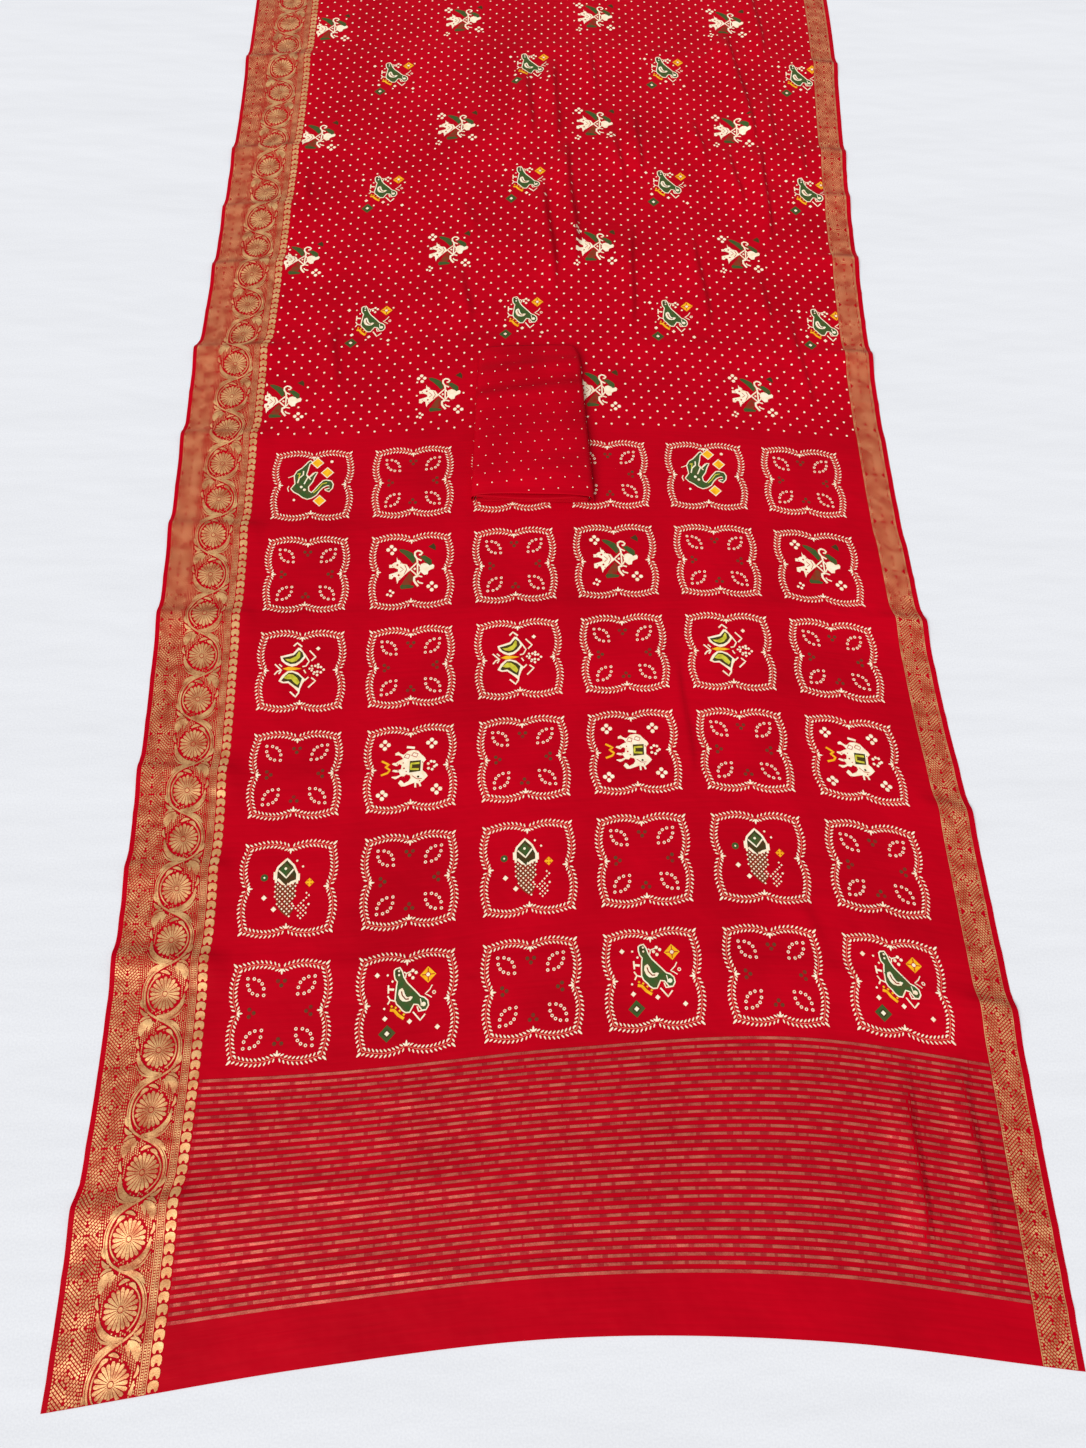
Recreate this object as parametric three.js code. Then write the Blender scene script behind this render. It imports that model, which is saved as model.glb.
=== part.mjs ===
// A printed patola saree laid out on a flat surface, pallu end nearest, with its blouse piece
// folded into a packet on top. Millimetres, +Z up: X runs across the cloth and Y along it.
import * as THREE from 'three';

// Driving dimensions. Across is measured from the selvedge of the wide border, and along
// from the raw end of the pallu.
const clothWidth = 1120;
const clothLength = 5500;
const clothThickness = 1.2;
const foldHalfWidth = 12;
const wrinkleHalfWidth = 22;
const fadeLength = 60;
const jogReach = 150;
const longestRowGap = 110;
const farRowGap = 300;
const farFrom = 2400;

const blouse = {
  across: 550,
  along: 1240,
  halfWidth: 84,
  length: 280,
  layers: 16,
  thickness: 1,
  gap: 0.4,
  wrapOpening: 3,
  wrapRadius: 9,
  wrapEnd: 4,
  unevenness: 0.4,
  taper: 0.13,
  sideDrop: 0.2,
  farDrop: 0.16,
  rest: 0.3,
  sections: 9,
};

// Soft swells across the packet: each one's place along it, as a share of its length from the
// near end, its half width likewise, and how much it adds to the packet's height.
const swells = [
  { at: 0.62, halfWidth: 0.12, adds: 0.07 },
  { at: 0.85, halfWidth: 0.1, adds: 0.09 },
];

// How the cloth lies. Each row is a weft line: its distance from the raw end, the places of
// its two ends, and how far it runs ahead at five places evenly spaced across.
const lay = [
  { along: 0, left: -568, right: 558, lead: [-31, 2, 21, 9, -28] },
  { along: 150, left: -562, right: 560, lead: [-19, 2, 21, 18, -28] },
  { along: 350, left: -557, right: 560, lead: [-10, -5, 16, 23, -21] },
  { along: 600, left: -557, right: 555, lead: [-10, -6, 15, 19, -22] },
  { along: 900, left: -561, right: 541, lead: [-4, -7, 8, 13, -22] },
  { along: 1250, left: -562, right: 536, lead: [-6, 0, 16, 9, -16] },
  { along: 1700, left: -548, right: 553, lead: [-21, 6, 31, 16, -7] },
  { along: 2300, left: -539, right: 593, lead: [-23, 7, 36, 25, 3] },
  { along: 3100, left: -545, right: 585, lead: [-12, 4, 18, 12, 0] },
  { along: 4200, left: -556, right: 566, lead: [-4, 1, 6, 4, 0] },
  { along: 5500, left: -562, right: 558, lead: [0, 0, 0, 0, 0] },
];

// Fold lines across the cloth, left from its packet. Each runs from the left selvedge to the
// right one, stands up between from and to, and steps the two selvedges outwards on its near
// side by its two jogs.
const folds = [
  { atLeft: 179, atRight: 165, from: 0, to: 520, height: 1.6, jogLeft: 5, jogRight: 0 },
  { atLeft: 453, atRight: 373, from: 0, to: 1120, height: 2.0, jogLeft: 2, jogRight: 2 },
  { atLeft: 565, atRight: 540, from: 0, to: 330, height: 1.4, jogLeft: 2, jogRight: 0 },
  { atLeft: 698, atRight: 632, from: 0, to: 1120, height: 1.7, jogLeft: 2, jogRight: 2 },
  { atLeft: 929, atRight: 919, from: 0, to: 1120, height: 2.0, jogLeft: 2, jogRight: 4 },
  { atLeft: 1078, atRight: 1043, from: 0, to: 430, height: 1.8, jogLeft: 2, jogRight: 2 },
  { atLeft: 1244, atRight: 1237, from: 0, to: 400, height: 1.9, jogLeft: 3, jogRight: 2 },
  { atLeft: 1420, atRight: 1405, from: 0, to: 1120, height: 2.4, jogLeft: 6, jogRight: 2 },
  { atLeft: 1607, atRight: 1614, from: 0, to: 1120, height: 2.0, jogLeft: 2, jogRight: 2 },
  { atLeft: 1745, atRight: 1760, from: 0, to: 1120, height: 1.5, jogLeft: 2, jogRight: 1 },
  { atLeft: 1890, atRight: 1871, from: 0, to: 1120, height: 1.9, jogLeft: 2, jogRight: 2 },
  { atLeft: 2138, atRight: 2108, from: 0, to: 1120, height: 1.8, jogLeft: 3, jogRight: 2 },
];

// Soft wrinkles that run along the cloth, each between a near and a far point.
const wrinkles = [
  { nearAcross: 958, nearAlong: 70, farAcross: 972, farAlong: 300, height: 3.0 },
  { nearAcross: 1037, nearAlong: 80, farAcross: 1040, farAlong: 330, height: 2.4 },
  { nearAcross: 886, nearAlong: 400, farAcross: 874, farAlong: 500, height: 1.8 },
  { nearAcross: 572, nearAlong: 1470, farAcross: 536, farAlong: 2010, height: 3.4 },
  { nearAcross: 612, nearAlong: 1590, farAcross: 590, farAlong: 1940, height: 2.6 },
  { nearAcross: 702, nearAlong: 1440, farAcross: 697, farAlong: 1910, height: 3.4 },
  { nearAcross: 832, nearAlong: 1530, farAcross: 845, farAlong: 1920, height: 2.8 },
  { nearAcross: 966, nearAlong: 1680, farAcross: 934, farAlong: 2330, height: 3.4 },
];

// Warp lines of the mesh, closer together where the wrinkles run.
const warpLines = [
  0, 30, 117, 200, 300, 400, 460, 512, 528, 544, 560, 576, 592, 608, 624, 650, 680, 697, 714,
  750, 806, 824, 842, 860, 878, 900, 925, 942, 959, 976, 1000, 1020, 1038, 1056, 1085, 1120,
];

// A smooth curve through a table's values, straight on past its ends.
function through(places, values, at) {
  const last = places.length - 1;
  let k = 0;
  while (k < last - 1 && at > places[k + 1]) k += 1;
  const slope = (i) => {
    const a = Math.max(i - 1, 0);
    const b = Math.min(i + 1, last);
    return (values[b] - values[a]) / (places[b] - places[a]);
  };
  const step = places[k + 1] - places[k];
  const t = (at - places[k]) / step;
  const s = 1 - t;
  return (1 + 2 * t) * s * s * values[k] + t * t * (3 - 2 * t) * values[k + 1]
    + step * (t * s * s * slope(k) - t * t * s * slope(k + 1));
}

// 1 at 0, falling smoothly to 0 at 1 and beyond, either way.
function bump(t) {
  return Math.abs(t) < 1 ? 0.5 + 0.5 * Math.cos(Math.PI * t) : 0;
}

// 1 between two places, fading to 0 within the fade length inside each.
function between(at, from, to) {
  const inside = Math.min(at - from, to - at) / fadeLength;
  return inside <= 0 ? 0 : bump(1 - Math.min(inside, 1));
}

function foldLine(fold, across) {
  return THREE.MathUtils.lerp(fold.atLeft, fold.atRight, across / clothWidth);
}

// The height of the cloth's underside over the surface it lies on.
function relief(across, along) {
  let height = 0;
  for (const fold of folds) {
    const shape = bump((along - foldLine(fold, across)) / foldHalfWidth);
    const reachesLeft = fold.from === 0 ? 1 : between(across, fold.from, clothWidth * 2);
    const reachesRight = fold.to === clothWidth ? 1 : between(across, -clothWidth, fold.to);
    height += fold.height * shape * reachesLeft * reachesRight;
  }
  for (const crease of wrinkles) {
    const run = (along - crease.nearAlong) / (crease.farAlong - crease.nearAlong);
    const line = THREE.MathUtils.lerp(crease.nearAcross, crease.farAcross, run);
    const shape = bump((across - line) / wrinkleHalfWidth);
    const stretch = between(along, crease.nearAlong, crease.farAlong);
    height = Math.max(height, crease.height * shape * stretch);
  }
  return height;
}

// How far the fold lines push a selvedge out: each by its jog just before the line, and less
// and less towards the raw end.
function jog(along, lineKey, jogKey) {
  let shift = 0;
  for (const fold of folds) {
    const before = (fold[lineKey] - along) / jogReach;
    if (before > 0 && before < 1) shift += fold[jogKey] * (1 - before);
  }
  return shift;
}

// The place where a point of the flat cloth lies.
function placeOn(across, along) {
  const stations = lay.map((row) => row.along);
  const column = (pick) => through(stations, lay.map(pick), along);
  const left = column((row) => row.left) - jog(along, 'atLeft', 'jogLeft');
  const right = column((row) => row.right) + jog(along, 'atRight', 'jogRight');
  const quarter = clothWidth / 4;
  const lead = lay[0].lead.map((_, i) => column((row) => row.lead[i]));
  const ahead = through(lead.map((_, i) => i * quarter), lead, across);
  const x = THREE.MathUtils.lerp(left, right, across / clothWidth);
  return new THREE.Vector3(x, along + ahead, relief(across, along));
}

// Weft lines of the mesh: three on every fold line, and enough between them.
function weftLines() {
  const onFolds = folds.flatMap((fold) => [-1, 0, 1].map((side) => ({
    left: fold.atLeft + side * foldHalfWidth,
    right: fold.atRight + side * foldHalfWidth,
  })));
  const ends = [{ left: 0, right: 0 }, ...onFolds, { left: farFrom, right: farFrom }];
  const lines = [ends[0]];
  for (let i = 1; i < ends.length; i += 1) {
    const before = ends[i - 1];
    const gap = ends[i].left - before.left;
    const steps = Math.ceil(gap / longestRowGap);
    for (let k = 1; k <= steps; k += 1) {
      lines.push({
        left: before.left + (gap * k) / steps,
        right: before.right + ((ends[i].right - before.right) * k) / steps,
      });
    }
  }
  const farSteps = Math.ceil((clothLength - farFrom) / farRowGap);
  for (let k = 1; k <= farSteps; k += 1) {
    const along = farFrom + ((clothLength - farFrom) * k) / farSteps;
    lines.push({ left: along, right: along });
  }
  return lines;
}

// The saree: one sheet, woven in one piece with its two borders.
function layCloth() {
  const wefts = weftLines();
  const columns = warpLines.length - 1;
  const rows = wefts.length - 1;
  const sheet = new THREE.BoxGeometry(1, 1, 1, columns, rows, 1);
  const points = sheet.attributes.position;
  for (let i = 0; i < points.count; i += 1) {
    const across = warpLines[Math.round((points.getX(i) + 0.5) * columns)];
    const weft = wefts[Math.round((points.getY(i) + 0.5) * rows)];
    const along = THREE.MathUtils.lerp(weft.left, weft.right, across / clothWidth);
    const place = placeOn(across, along);
    const top = points.getZ(i) > 0 ? clothThickness : 0;
    points.setXYZ(i, place.x, place.y, place.z + top);
  }
  return sheet;
}

// The middle line of the folded cloth in its section: back and forth from the bottom, then
// over a small opening and down outside the stack on the right.
function foldedLine() {
  const pitch = blouse.thickness + blouse.gap;
  const line = [];
  let height = blouse.thickness / 2;
  let side = -1;
  for (let layer = 0; layer < blouse.layers; layer += 1) {
    const top = layer === blouse.layers - 1;
    const rise = layer === blouse.layers - 2 ? pitch + blouse.wrapOpening : pitch;
    const reach = blouse.halfWidth - blouse.unevenness * ((layer * 5) % 7);
    for (const part of [-1, -0.4, 0.4]) line.push([part * side * reach, height]);
    if (!top) {
      line.push([side * reach, height]);
      for (const turn of [-Math.PI / 6, Math.PI / 6]) {
        line.push([
          side * (reach + (rise / 2) * Math.cos(turn)),
          height + (rise / 2) * (1 + Math.sin(turn)),
        ]);
      }
    }
    height += top ? 0 : rise;
    side = -side;
  }
  const radius = blouse.wrapRadius;
  for (let k = 0; k <= 3; k += 1) {
    const turn = (Math.PI / 2) * (1 - k / 3);
    line.push([
      blouse.halfWidth + radius * Math.cos(turn),
      height - radius + radius * Math.sin(turn),
    ]);
  }
  line.push([blouse.halfWidth + radius, blouse.wrapEnd]);
  return line.map(([x, z]) => new THREE.Vector2(x, z));
}

// The outline of a strip of even thickness about its middle line.
function stripOutline(line, thickness) {
  const sides = [[], []];
  line.forEach((point, i) => {
    const before = line[Math.max(i - 1, 0)];
    const after = line[Math.min(i + 1, line.length - 1)];
    const come = point.clone().sub(before).normalize();
    const go = after.clone().sub(point).normalize();
    const way = come.clone().add(go).normalize();
    const along = i === 0 ? go : come;
    const stretch = Math.max(way.dot(along), 0.5);
    const out = new THREE.Vector2(-way.y, way.x).multiplyScalar(thickness / 2 / stretch);
    sides[0].push(point.clone().add(out));
    sides[1].unshift(point.clone().sub(out));
  });
  return [...sides[0], ...sides[1]];
}

// The blouse piece: one cloth folded into a packet, a little narrower at its far end, its
// sides lower than its middle and its top uneven with soft swells.
function foldBlousePiece() {
  const shape = new THREE.Shape(stripOutline(foldedLine(), blouse.thickness));
  const packet = new THREE.ExtrudeGeometry(shape, {
    depth: blouse.length, steps: blouse.sections, bevelEnabled: false,
  });
  const points = packet.attributes.position;
  const centre = placeOn(blouse.across, blouse.along);
  const reach = blouse.halfWidth + blouse.wrapRadius;
  for (let i = 0; i < points.count; i += 1) {
    const across = points.getX(i);
    const back = 1 - points.getZ(i) / blouse.length;
    const side = Math.min(Math.abs(across) / reach, 1);
    const drop = 1 - blouse.sideDrop * side ** 4;
    const swell = swells.reduce(
      (sum, one) => sum + one.adds * bump((back - one.at) / one.halfWidth),
      1 - blouse.farDrop * back,
    );
    const base = clothThickness + blouse.rest;
    points.setXYZ(
      i,
      centre.x + across * (1 - blouse.taper * back),
      centre.y + blouse.length * (back - 0.5),
      base + points.getY(i) * drop * swell,
    );
  }
  return packet;
}

const clothRed = new THREE.MeshStandardMaterial({ color: 0xc4021c, roughness: 0.7, metalness: 0 });

const saree = new THREE.Group();
const cloth = new THREE.Mesh(layCloth(), clothRed);
cloth.name = 'saree_cloth';
saree.add(cloth);

const blousePiece = new THREE.Mesh(foldBlousePiece(), clothRed.clone());
blousePiece.name = 'blouse_piece';
saree.add(blousePiece);

// The group's origin is the middle of the ground that the saree covers.
const box = new THREE.Box3().setFromObject(saree);
const middle = box.getCenter(new THREE.Vector3());
cloth.position.set(-middle.x, -middle.y, 0);
blousePiece.position.copy(cloth.position);

export default saree;
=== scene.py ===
"""A printed patola saree laid out flat, pallu end nearest, its blouse piece folded on top.

Metres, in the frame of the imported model: X across the cloth from the wide border to the
narrow one, Y along it from the raw end, Z up.
"""

import bmesh
import bpy
import numpy as np
from mathutils import Matrix, Vector


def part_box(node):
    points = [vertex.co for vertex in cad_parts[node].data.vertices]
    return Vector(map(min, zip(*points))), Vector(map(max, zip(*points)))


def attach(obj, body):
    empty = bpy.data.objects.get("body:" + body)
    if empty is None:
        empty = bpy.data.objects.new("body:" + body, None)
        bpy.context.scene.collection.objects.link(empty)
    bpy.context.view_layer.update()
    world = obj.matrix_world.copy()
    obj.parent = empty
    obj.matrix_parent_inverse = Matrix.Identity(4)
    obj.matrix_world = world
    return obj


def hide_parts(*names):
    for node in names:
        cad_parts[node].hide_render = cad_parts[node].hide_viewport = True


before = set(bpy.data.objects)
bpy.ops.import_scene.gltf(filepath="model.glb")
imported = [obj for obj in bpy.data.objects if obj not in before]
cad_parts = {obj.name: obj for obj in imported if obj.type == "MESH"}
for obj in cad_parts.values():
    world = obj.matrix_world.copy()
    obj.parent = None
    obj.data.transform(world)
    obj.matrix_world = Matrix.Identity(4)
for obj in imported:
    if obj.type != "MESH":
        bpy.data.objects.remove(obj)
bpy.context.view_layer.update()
bpy.ops.object.select_all(action="DESELECT")

# The saree cloth: 5.5 m of thin red crepe, woven with both borders in one piece. It lies on
# the ground as it was unfolded, with the fold lines of its packet and soft wrinkles standing
# a little up. Each weft line of the table has its distance from the raw end, the places of
# its two ends, and how far it runs ahead at five places evenly spaced across.
cloth_width = 1.12
cloth_length = 5.5
cloth_thickness = 0.001
fold_near_reach = 0.050
fold_far_reach = 0.018
fold_in_border = 2.7
fold_in_body = 0.7
body_from = 0.15
body_to = 1.075
body_fade = 0.03
wrinkle_gentle = 0.036
wrinkle_steep = 0.011
wrinkle_height = 2.2
wrinkle_bow = 0.004
fade_length = 0.08
jog_reach = 0.15
jog_end = 0.03
lay = [
    (0.0, -0.568, 0.558, (-0.031, 0.002, 0.021, 0.009, -0.028)),
    (0.15, -0.562, 0.560, (-0.019, 0.002, 0.021, 0.018, -0.028)),
    (0.35, -0.557, 0.560, (-0.010, -0.005, 0.016, 0.023, -0.021)),
    (0.6, -0.557, 0.555, (-0.010, -0.006, 0.015, 0.019, -0.022)),
    (0.9, -0.561, 0.541, (-0.004, -0.007, 0.008, 0.013, -0.022)),
    (1.25, -0.562, 0.536, (-0.006, 0.0, 0.016, 0.009, -0.016)),
    (1.7, -0.548, 0.553, (-0.021, 0.006, 0.031, 0.016, -0.007)),
    (2.3, -0.539, 0.593, (-0.023, 0.007, 0.036, 0.025, 0.003)),
    (3.1, -0.545, 0.585, (-0.012, 0.004, 0.018, 0.012, 0.0)),
    (4.2, -0.556, 0.566, (-0.004, 0.001, 0.006, 0.004, 0.0)),
    (5.5, -0.562, 0.558, (0.0, 0.0, 0.0, 0.0, 0.0)),
]

# Fold lines: distance from the raw end at the left and right selvedge, the stretch across
# that stands up, its height, and how far it steps the left and right selvedge out.
folds = [
    (0.179, 0.165, 0.0, 0.52, 0.0016, 0.005, 0.0),
    (0.453, 0.373, 0.0, 1.12, 0.0020, 0.002, 0.002),
    (0.565, 0.540, 0.0, 0.33, 0.0014, 0.002, 0.0),
    (0.698, 0.632, 0.0, 1.12, 0.0017, 0.002, 0.002),
    (0.929, 0.919, 0.0, 1.12, 0.0020, 0.002, 0.004),
    (1.078, 1.043, 0.0, 0.43, 0.0018, 0.002, 0.002),
    (1.244, 1.237, 0.0, 0.40, 0.0019, 0.003, 0.002),
    (1.420, 1.405, 0.0, 1.12, 0.0024, 0.006, 0.002),
    (1.607, 1.614, 0.0, 1.12, 0.0020, 0.002, 0.002),
    (1.745, 1.760, 0.0, 1.12, 0.0015, 0.002, 0.001),
    (1.890, 1.871, 0.0, 1.12, 0.0019, 0.002, 0.002),
    (2.138, 2.108, 0.0, 1.12, 0.0018, 0.003, 0.002),
]

# Wrinkles along the cloth: across and along at the near end, at the far end, and the height.
wrinkles = [
    (0.958, 0.07, 0.972, 0.30, 0.0040),
    (1.037, 0.08, 1.040, 0.33, 0.0034),
    (0.886, 0.40, 0.874, 0.50, 0.0026),
    (0.742, 0.62, 0.748, 0.86, 0.0024),
    (1.005, 1.26, 0.990, 1.50, 0.0030),
    (0.232, 1.30, 0.221, 1.50, 0.0026),
    (0.712, 1.41, 0.727, 1.68, 0.0042),
    (0.848, 1.42, 0.831, 1.67, 0.0040),
    (0.952, 1.42, 0.946, 1.59, 0.0032),
    (0.444, 1.42, 0.426, 1.59, 0.0036),
    (0.586, 1.50, 0.566, 1.78, 0.0052),
    (0.624, 1.55, 0.606, 1.88, 0.0054),
    (0.450, 1.62, 0.424, 1.75, 0.0026),
    (0.964, 1.62, 0.964, 1.90, 0.0058),
    (0.924, 1.69, 0.900, 1.89, 0.0040),
    (0.142, 1.71, 0.140, 1.85, 0.0030),
    (0.707, 1.74, 0.692, 1.92, 0.0038),
    (0.736, 1.76, 0.734, 1.97, 0.0040),
    (1.030, 1.77, 1.043, 1.94, 0.0036),
    (0.860, 1.80, 0.838, 1.96, 0.0038),
    (0.584, 1.83, 0.580, 2.10, 0.0042),
    (0.980, 1.85, 0.987, 2.03, 0.0036),
    (0.536, 1.85, 0.528, 2.08, 0.0036),
    (0.956, 1.86, 0.906, 2.20, 0.0054),
    (0.651, 1.96, 0.647, 2.16, 0.0032),
    (0.976, 2.10, 0.966, 2.36, 0.0040),
]

# Puckers of the stiff brocade borders: distance from the raw end, half width and height.
pucker_reach_left = 0.14
left_puckers = [
    (0.045, 0.014, 0.0012), (0.115, 0.012, 0.0010), (0.245, 0.016, 0.0014), (0.310, 0.010, 0.0010),
    (0.385, 0.014, 0.0012), (0.500, 0.016, 0.0010), (0.640, 0.014, 0.0014), (0.765, 0.012, 0.0012),
    (0.830, 0.016, 0.0010), (0.995, 0.014, 0.0014), (1.150, 0.016, 0.0012), (1.330, 0.014, 0.0014),
    (1.505, 0.016, 0.0012), (1.670, 0.014, 0.0010), (1.815, 0.016, 0.0012), (1.990, 0.014, 0.0014),
]
pucker_reach_right = 0.07
right_puckers = [
    (0.060, 0.012, 0.0016), (0.098, 0.010, 0.0014), (0.140, 0.012, 0.0010), (0.235, 0.014, 0.0012),
    (0.300, 0.012, 0.0014), (0.440, 0.014, 0.0012), (0.500, 0.010, 0.0014), (0.590, 0.012, 0.0012),
    (0.700, 0.014, 0.0016), (0.770, 0.010, 0.0012), (0.840, 0.014, 0.0014), (0.990, 0.012, 0.0014),
    (1.110, 0.014, 0.0012), (1.170, 0.010, 0.0014), (1.310, 0.014, 0.0014), (1.480, 0.012, 0.0012),
    (1.540, 0.014, 0.0014), (1.690, 0.012, 0.0012), (1.820, 0.014, 0.0014), (1.960, 0.012, 0.0012),
]


def through(places, values, at):
    """A smooth curve through a table's values, straight on past its ends."""
    places = np.asarray(places, float)
    values = np.broadcast_to(np.asarray(values, float), (len(at), len(places)))
    last = len(places) - 1
    k = np.clip(np.searchsorted(places, at) - 1, 0, last - 1)
    row = np.arange(len(at))

    def slope(i):
        before = np.maximum(i - 1, 0)
        after = np.minimum(i + 1, last)
        return (values[row, after] - values[row, before]) / (places[after] - places[before])

    step = places[k + 1] - places[k]
    t = (at - places[k]) / step
    s = 1 - t
    ends = (1 + 2 * t) * s * s * values[row, k] + t * t * (3 - 2 * t) * values[row, k + 1]
    return ends + step * (t * s * s * slope(k) - t * t * s * slope(k + 1))


def bump(t):
    """1 at 0, falling smoothly to 0 at 1 and beyond, either way."""
    return np.where(np.abs(t) < 1, 0.5 + 0.5 * np.cos(np.pi * t), 0.0)


def between(at, start, end):
    """1 between two places, fading to 0 inside each."""
    inside = np.minimum(at - start, end - at) / fade_length
    return bump(1 - np.clip(inside, 0, 1))


def relief(across, along):
    """How high the cloth's underside lies over the ground."""
    height = np.zeros(len(across))
    share = across / cloth_width
    in_body = np.where(across < body_from, bump((body_from - across) / body_fade), 1.0)
    in_body = in_body * np.clip((body_to - across) / body_fade, 0, 1)
    stiff = fold_in_border + (fold_in_body - fold_in_border) * in_body
    for at_left, at_right, start, end, rise, _, _ in folds:
        line = at_left + (at_right - at_left) * share
        from_left = start if start > 0 else -fade_length
        to_right = end if end < cloth_width else cloth_width + fade_length
        reach = np.where(along < line, fold_near_reach, fold_far_reach)
        ridge = rise * stiff * bump((along - line) / reach)
        height += ridge * between(across, from_left, to_right)
    for near_across, near_along, far_across, far_along, rise in wrinkles:
        run = (along - near_along) / (far_along - near_along)
        line = near_across + (far_across - near_across) * run + wrinkle_bow * np.sin(2 * np.pi * run)
        reach = np.where(across < line, wrinkle_gentle, wrinkle_steep)
        ridge = wrinkle_height * rise * bump((across - line) / reach)
        height = np.maximum(height, ridge * between(along, near_along, far_along))
    for edge, reach, puckers in (
        (0, pucker_reach_left, left_puckers),
        (cloth_width, pucker_reach_right, right_puckers),
    ):
        fade = bump((across - edge) / reach) ** 0.5
        for at, half_width, rise in puckers:
            height = np.maximum(height, rise * fade * bump((along - at) / half_width))
    return height


def jog(past):
    """How much of a selvedge's step out shows at a distance past its fold line."""
    near = np.clip(1 + past / jog_reach, 0, 1)
    return np.where(past < 0, near, bump(np.clip(past / jog_end, 0, 1)))


def lie(across, along):
    """Where points of the flat cloth lie, before the saree is centred."""
    stations = [row[0] for row in lay]
    left = through(stations, [row[1] for row in lay], along)
    right = through(stations, [row[2] for row in lay], along)
    for at_left, at_right, _, _, _, step_left, step_right in folds:
        left -= step_left * jog(along - at_left)
        right += step_right * jog(along - at_right)
    lead = [through(stations, [row[3][i] for row in lay], along) for i in range(5)]
    ahead = through(np.arange(5) * cloth_width / 4, np.stack(lead, 1), across)
    x = left + (right - left) * across / cloth_width
    return np.stack([x, along + ahead, relief(across, along)], 1)


# Weft lines of the mesh run along the fold lines, seven to each, and between them evenly.
across_step = 0.004
beside_folds = (-0.012, -0.008, -0.004, 0.0, 0.004, 0.008, 0.012)
near_gap = 0.013
far_from = 2.4
far_gap = 0.045
weft_ends = [(0.0, 0.0)]
for at_left, at_right, *_ in folds:
    weft_ends += [(at_left + offset, at_right + offset) for offset in beside_folds]
weft_ends += [(far_from, far_from), (cloth_length, cloth_length)]
weft_left = [0.0]
weft_right = [0.0]
for (left_a, right_a), (left_b, right_b) in zip(weft_ends, weft_ends[1:]):
    gap = far_gap if left_a == far_from else near_gap
    steps = max(1, int(np.ceil(max(left_b - left_a, right_b - right_a) / gap)))
    weft_left += list(np.linspace(left_a, left_b, steps + 1)[1:])
    weft_right += list(np.linspace(right_a, right_b, steps + 1)[1:])
weft_left = np.array(weft_left)
weft_right = np.array(weft_right)
columns = int(round(cloth_width / across_step))
rows = len(weft_left)
grid_across = np.tile(np.arange(columns + 1) * across_step, rows)
share = grid_across / cloth_width
grid_left = np.repeat(weft_left, columns + 1)
grid_along = grid_left + (np.repeat(weft_right, columns + 1) - grid_left) * share
laid = lie(grid_across, grid_along)

# The saree's origin is the middle of the ground that it covers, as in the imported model.
low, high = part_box("saree_cloth")
off_centre = np.array([(low.x + high.x) / 2, (low.y + high.y) / 2, 0.0])
off_centre[:2] -= (laid[:, :2].min(0) + laid[:, :2].max(0)) / 2
laid += off_centre
top = laid + np.array([0, 0, cloth_thickness])

# The bake's map lays the cloth out in two strips side by side.
strip_length = 2.75
strip_step = 1.13
map_side = 2.79
map_margin = (0.005, 0.02)


def add_maps(mesh, flat):
    """Gives a mesh the cloth's own across and along, and the bake's map of two strips."""
    corner = np.zeros(len(mesh.loops), np.int32)
    mesh.loops.foreach_get("vertex_index", corner)
    start = np.zeros(len(mesh.polygons), np.int32)
    mesh.polygons.foreach_get("loop_start", start)
    count = np.zeros(len(mesh.polygons), np.int32)
    mesh.polygons.foreach_get("loop_total", count)
    place = flat[corner]
    own = mesh.uv_layers.new(name="Cloth")
    own.uv.foreach_set("vector", place.astype(np.float32).ravel())
    middle = np.add.reduceat(place[:, 1], start) / count
    strip = np.repeat(middle > strip_length, count)
    u = place[:, 0] + strip * strip_step + map_margin[0]
    v = place[:, 1] - strip * strip_length + map_margin[1]
    baked = mesh.uv_layers.new(name="OFBake")
    baked.uv.foreach_set("vector", (np.stack([u, v], 1) / map_side).astype(np.float32).ravel())


def grid_faces(grid):
    """The four-sided faces between the numbered points of a grid."""
    quads = np.stack([grid[:-1, :-1], grid[:-1, 1:], grid[1:, 1:], grid[1:, :-1]], -1)
    return quads.reshape(-1, 4).tolist()


def new_piece(name, points, faces, flat, material):
    """A smooth mesh with the cloth's maps and its material."""
    mesh = bpy.data.meshes.new(name)
    mesh.from_pydata(points.tolist(), [], faces)
    mesh.polygons.foreach_set("use_smooth", [True] * len(mesh.polygons))
    add_maps(mesh, flat)
    mesh.materials.append(material)
    piece = bpy.data.objects.new(name, mesh)
    bpy.context.collection.objects.link(piece)
    return piece


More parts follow.
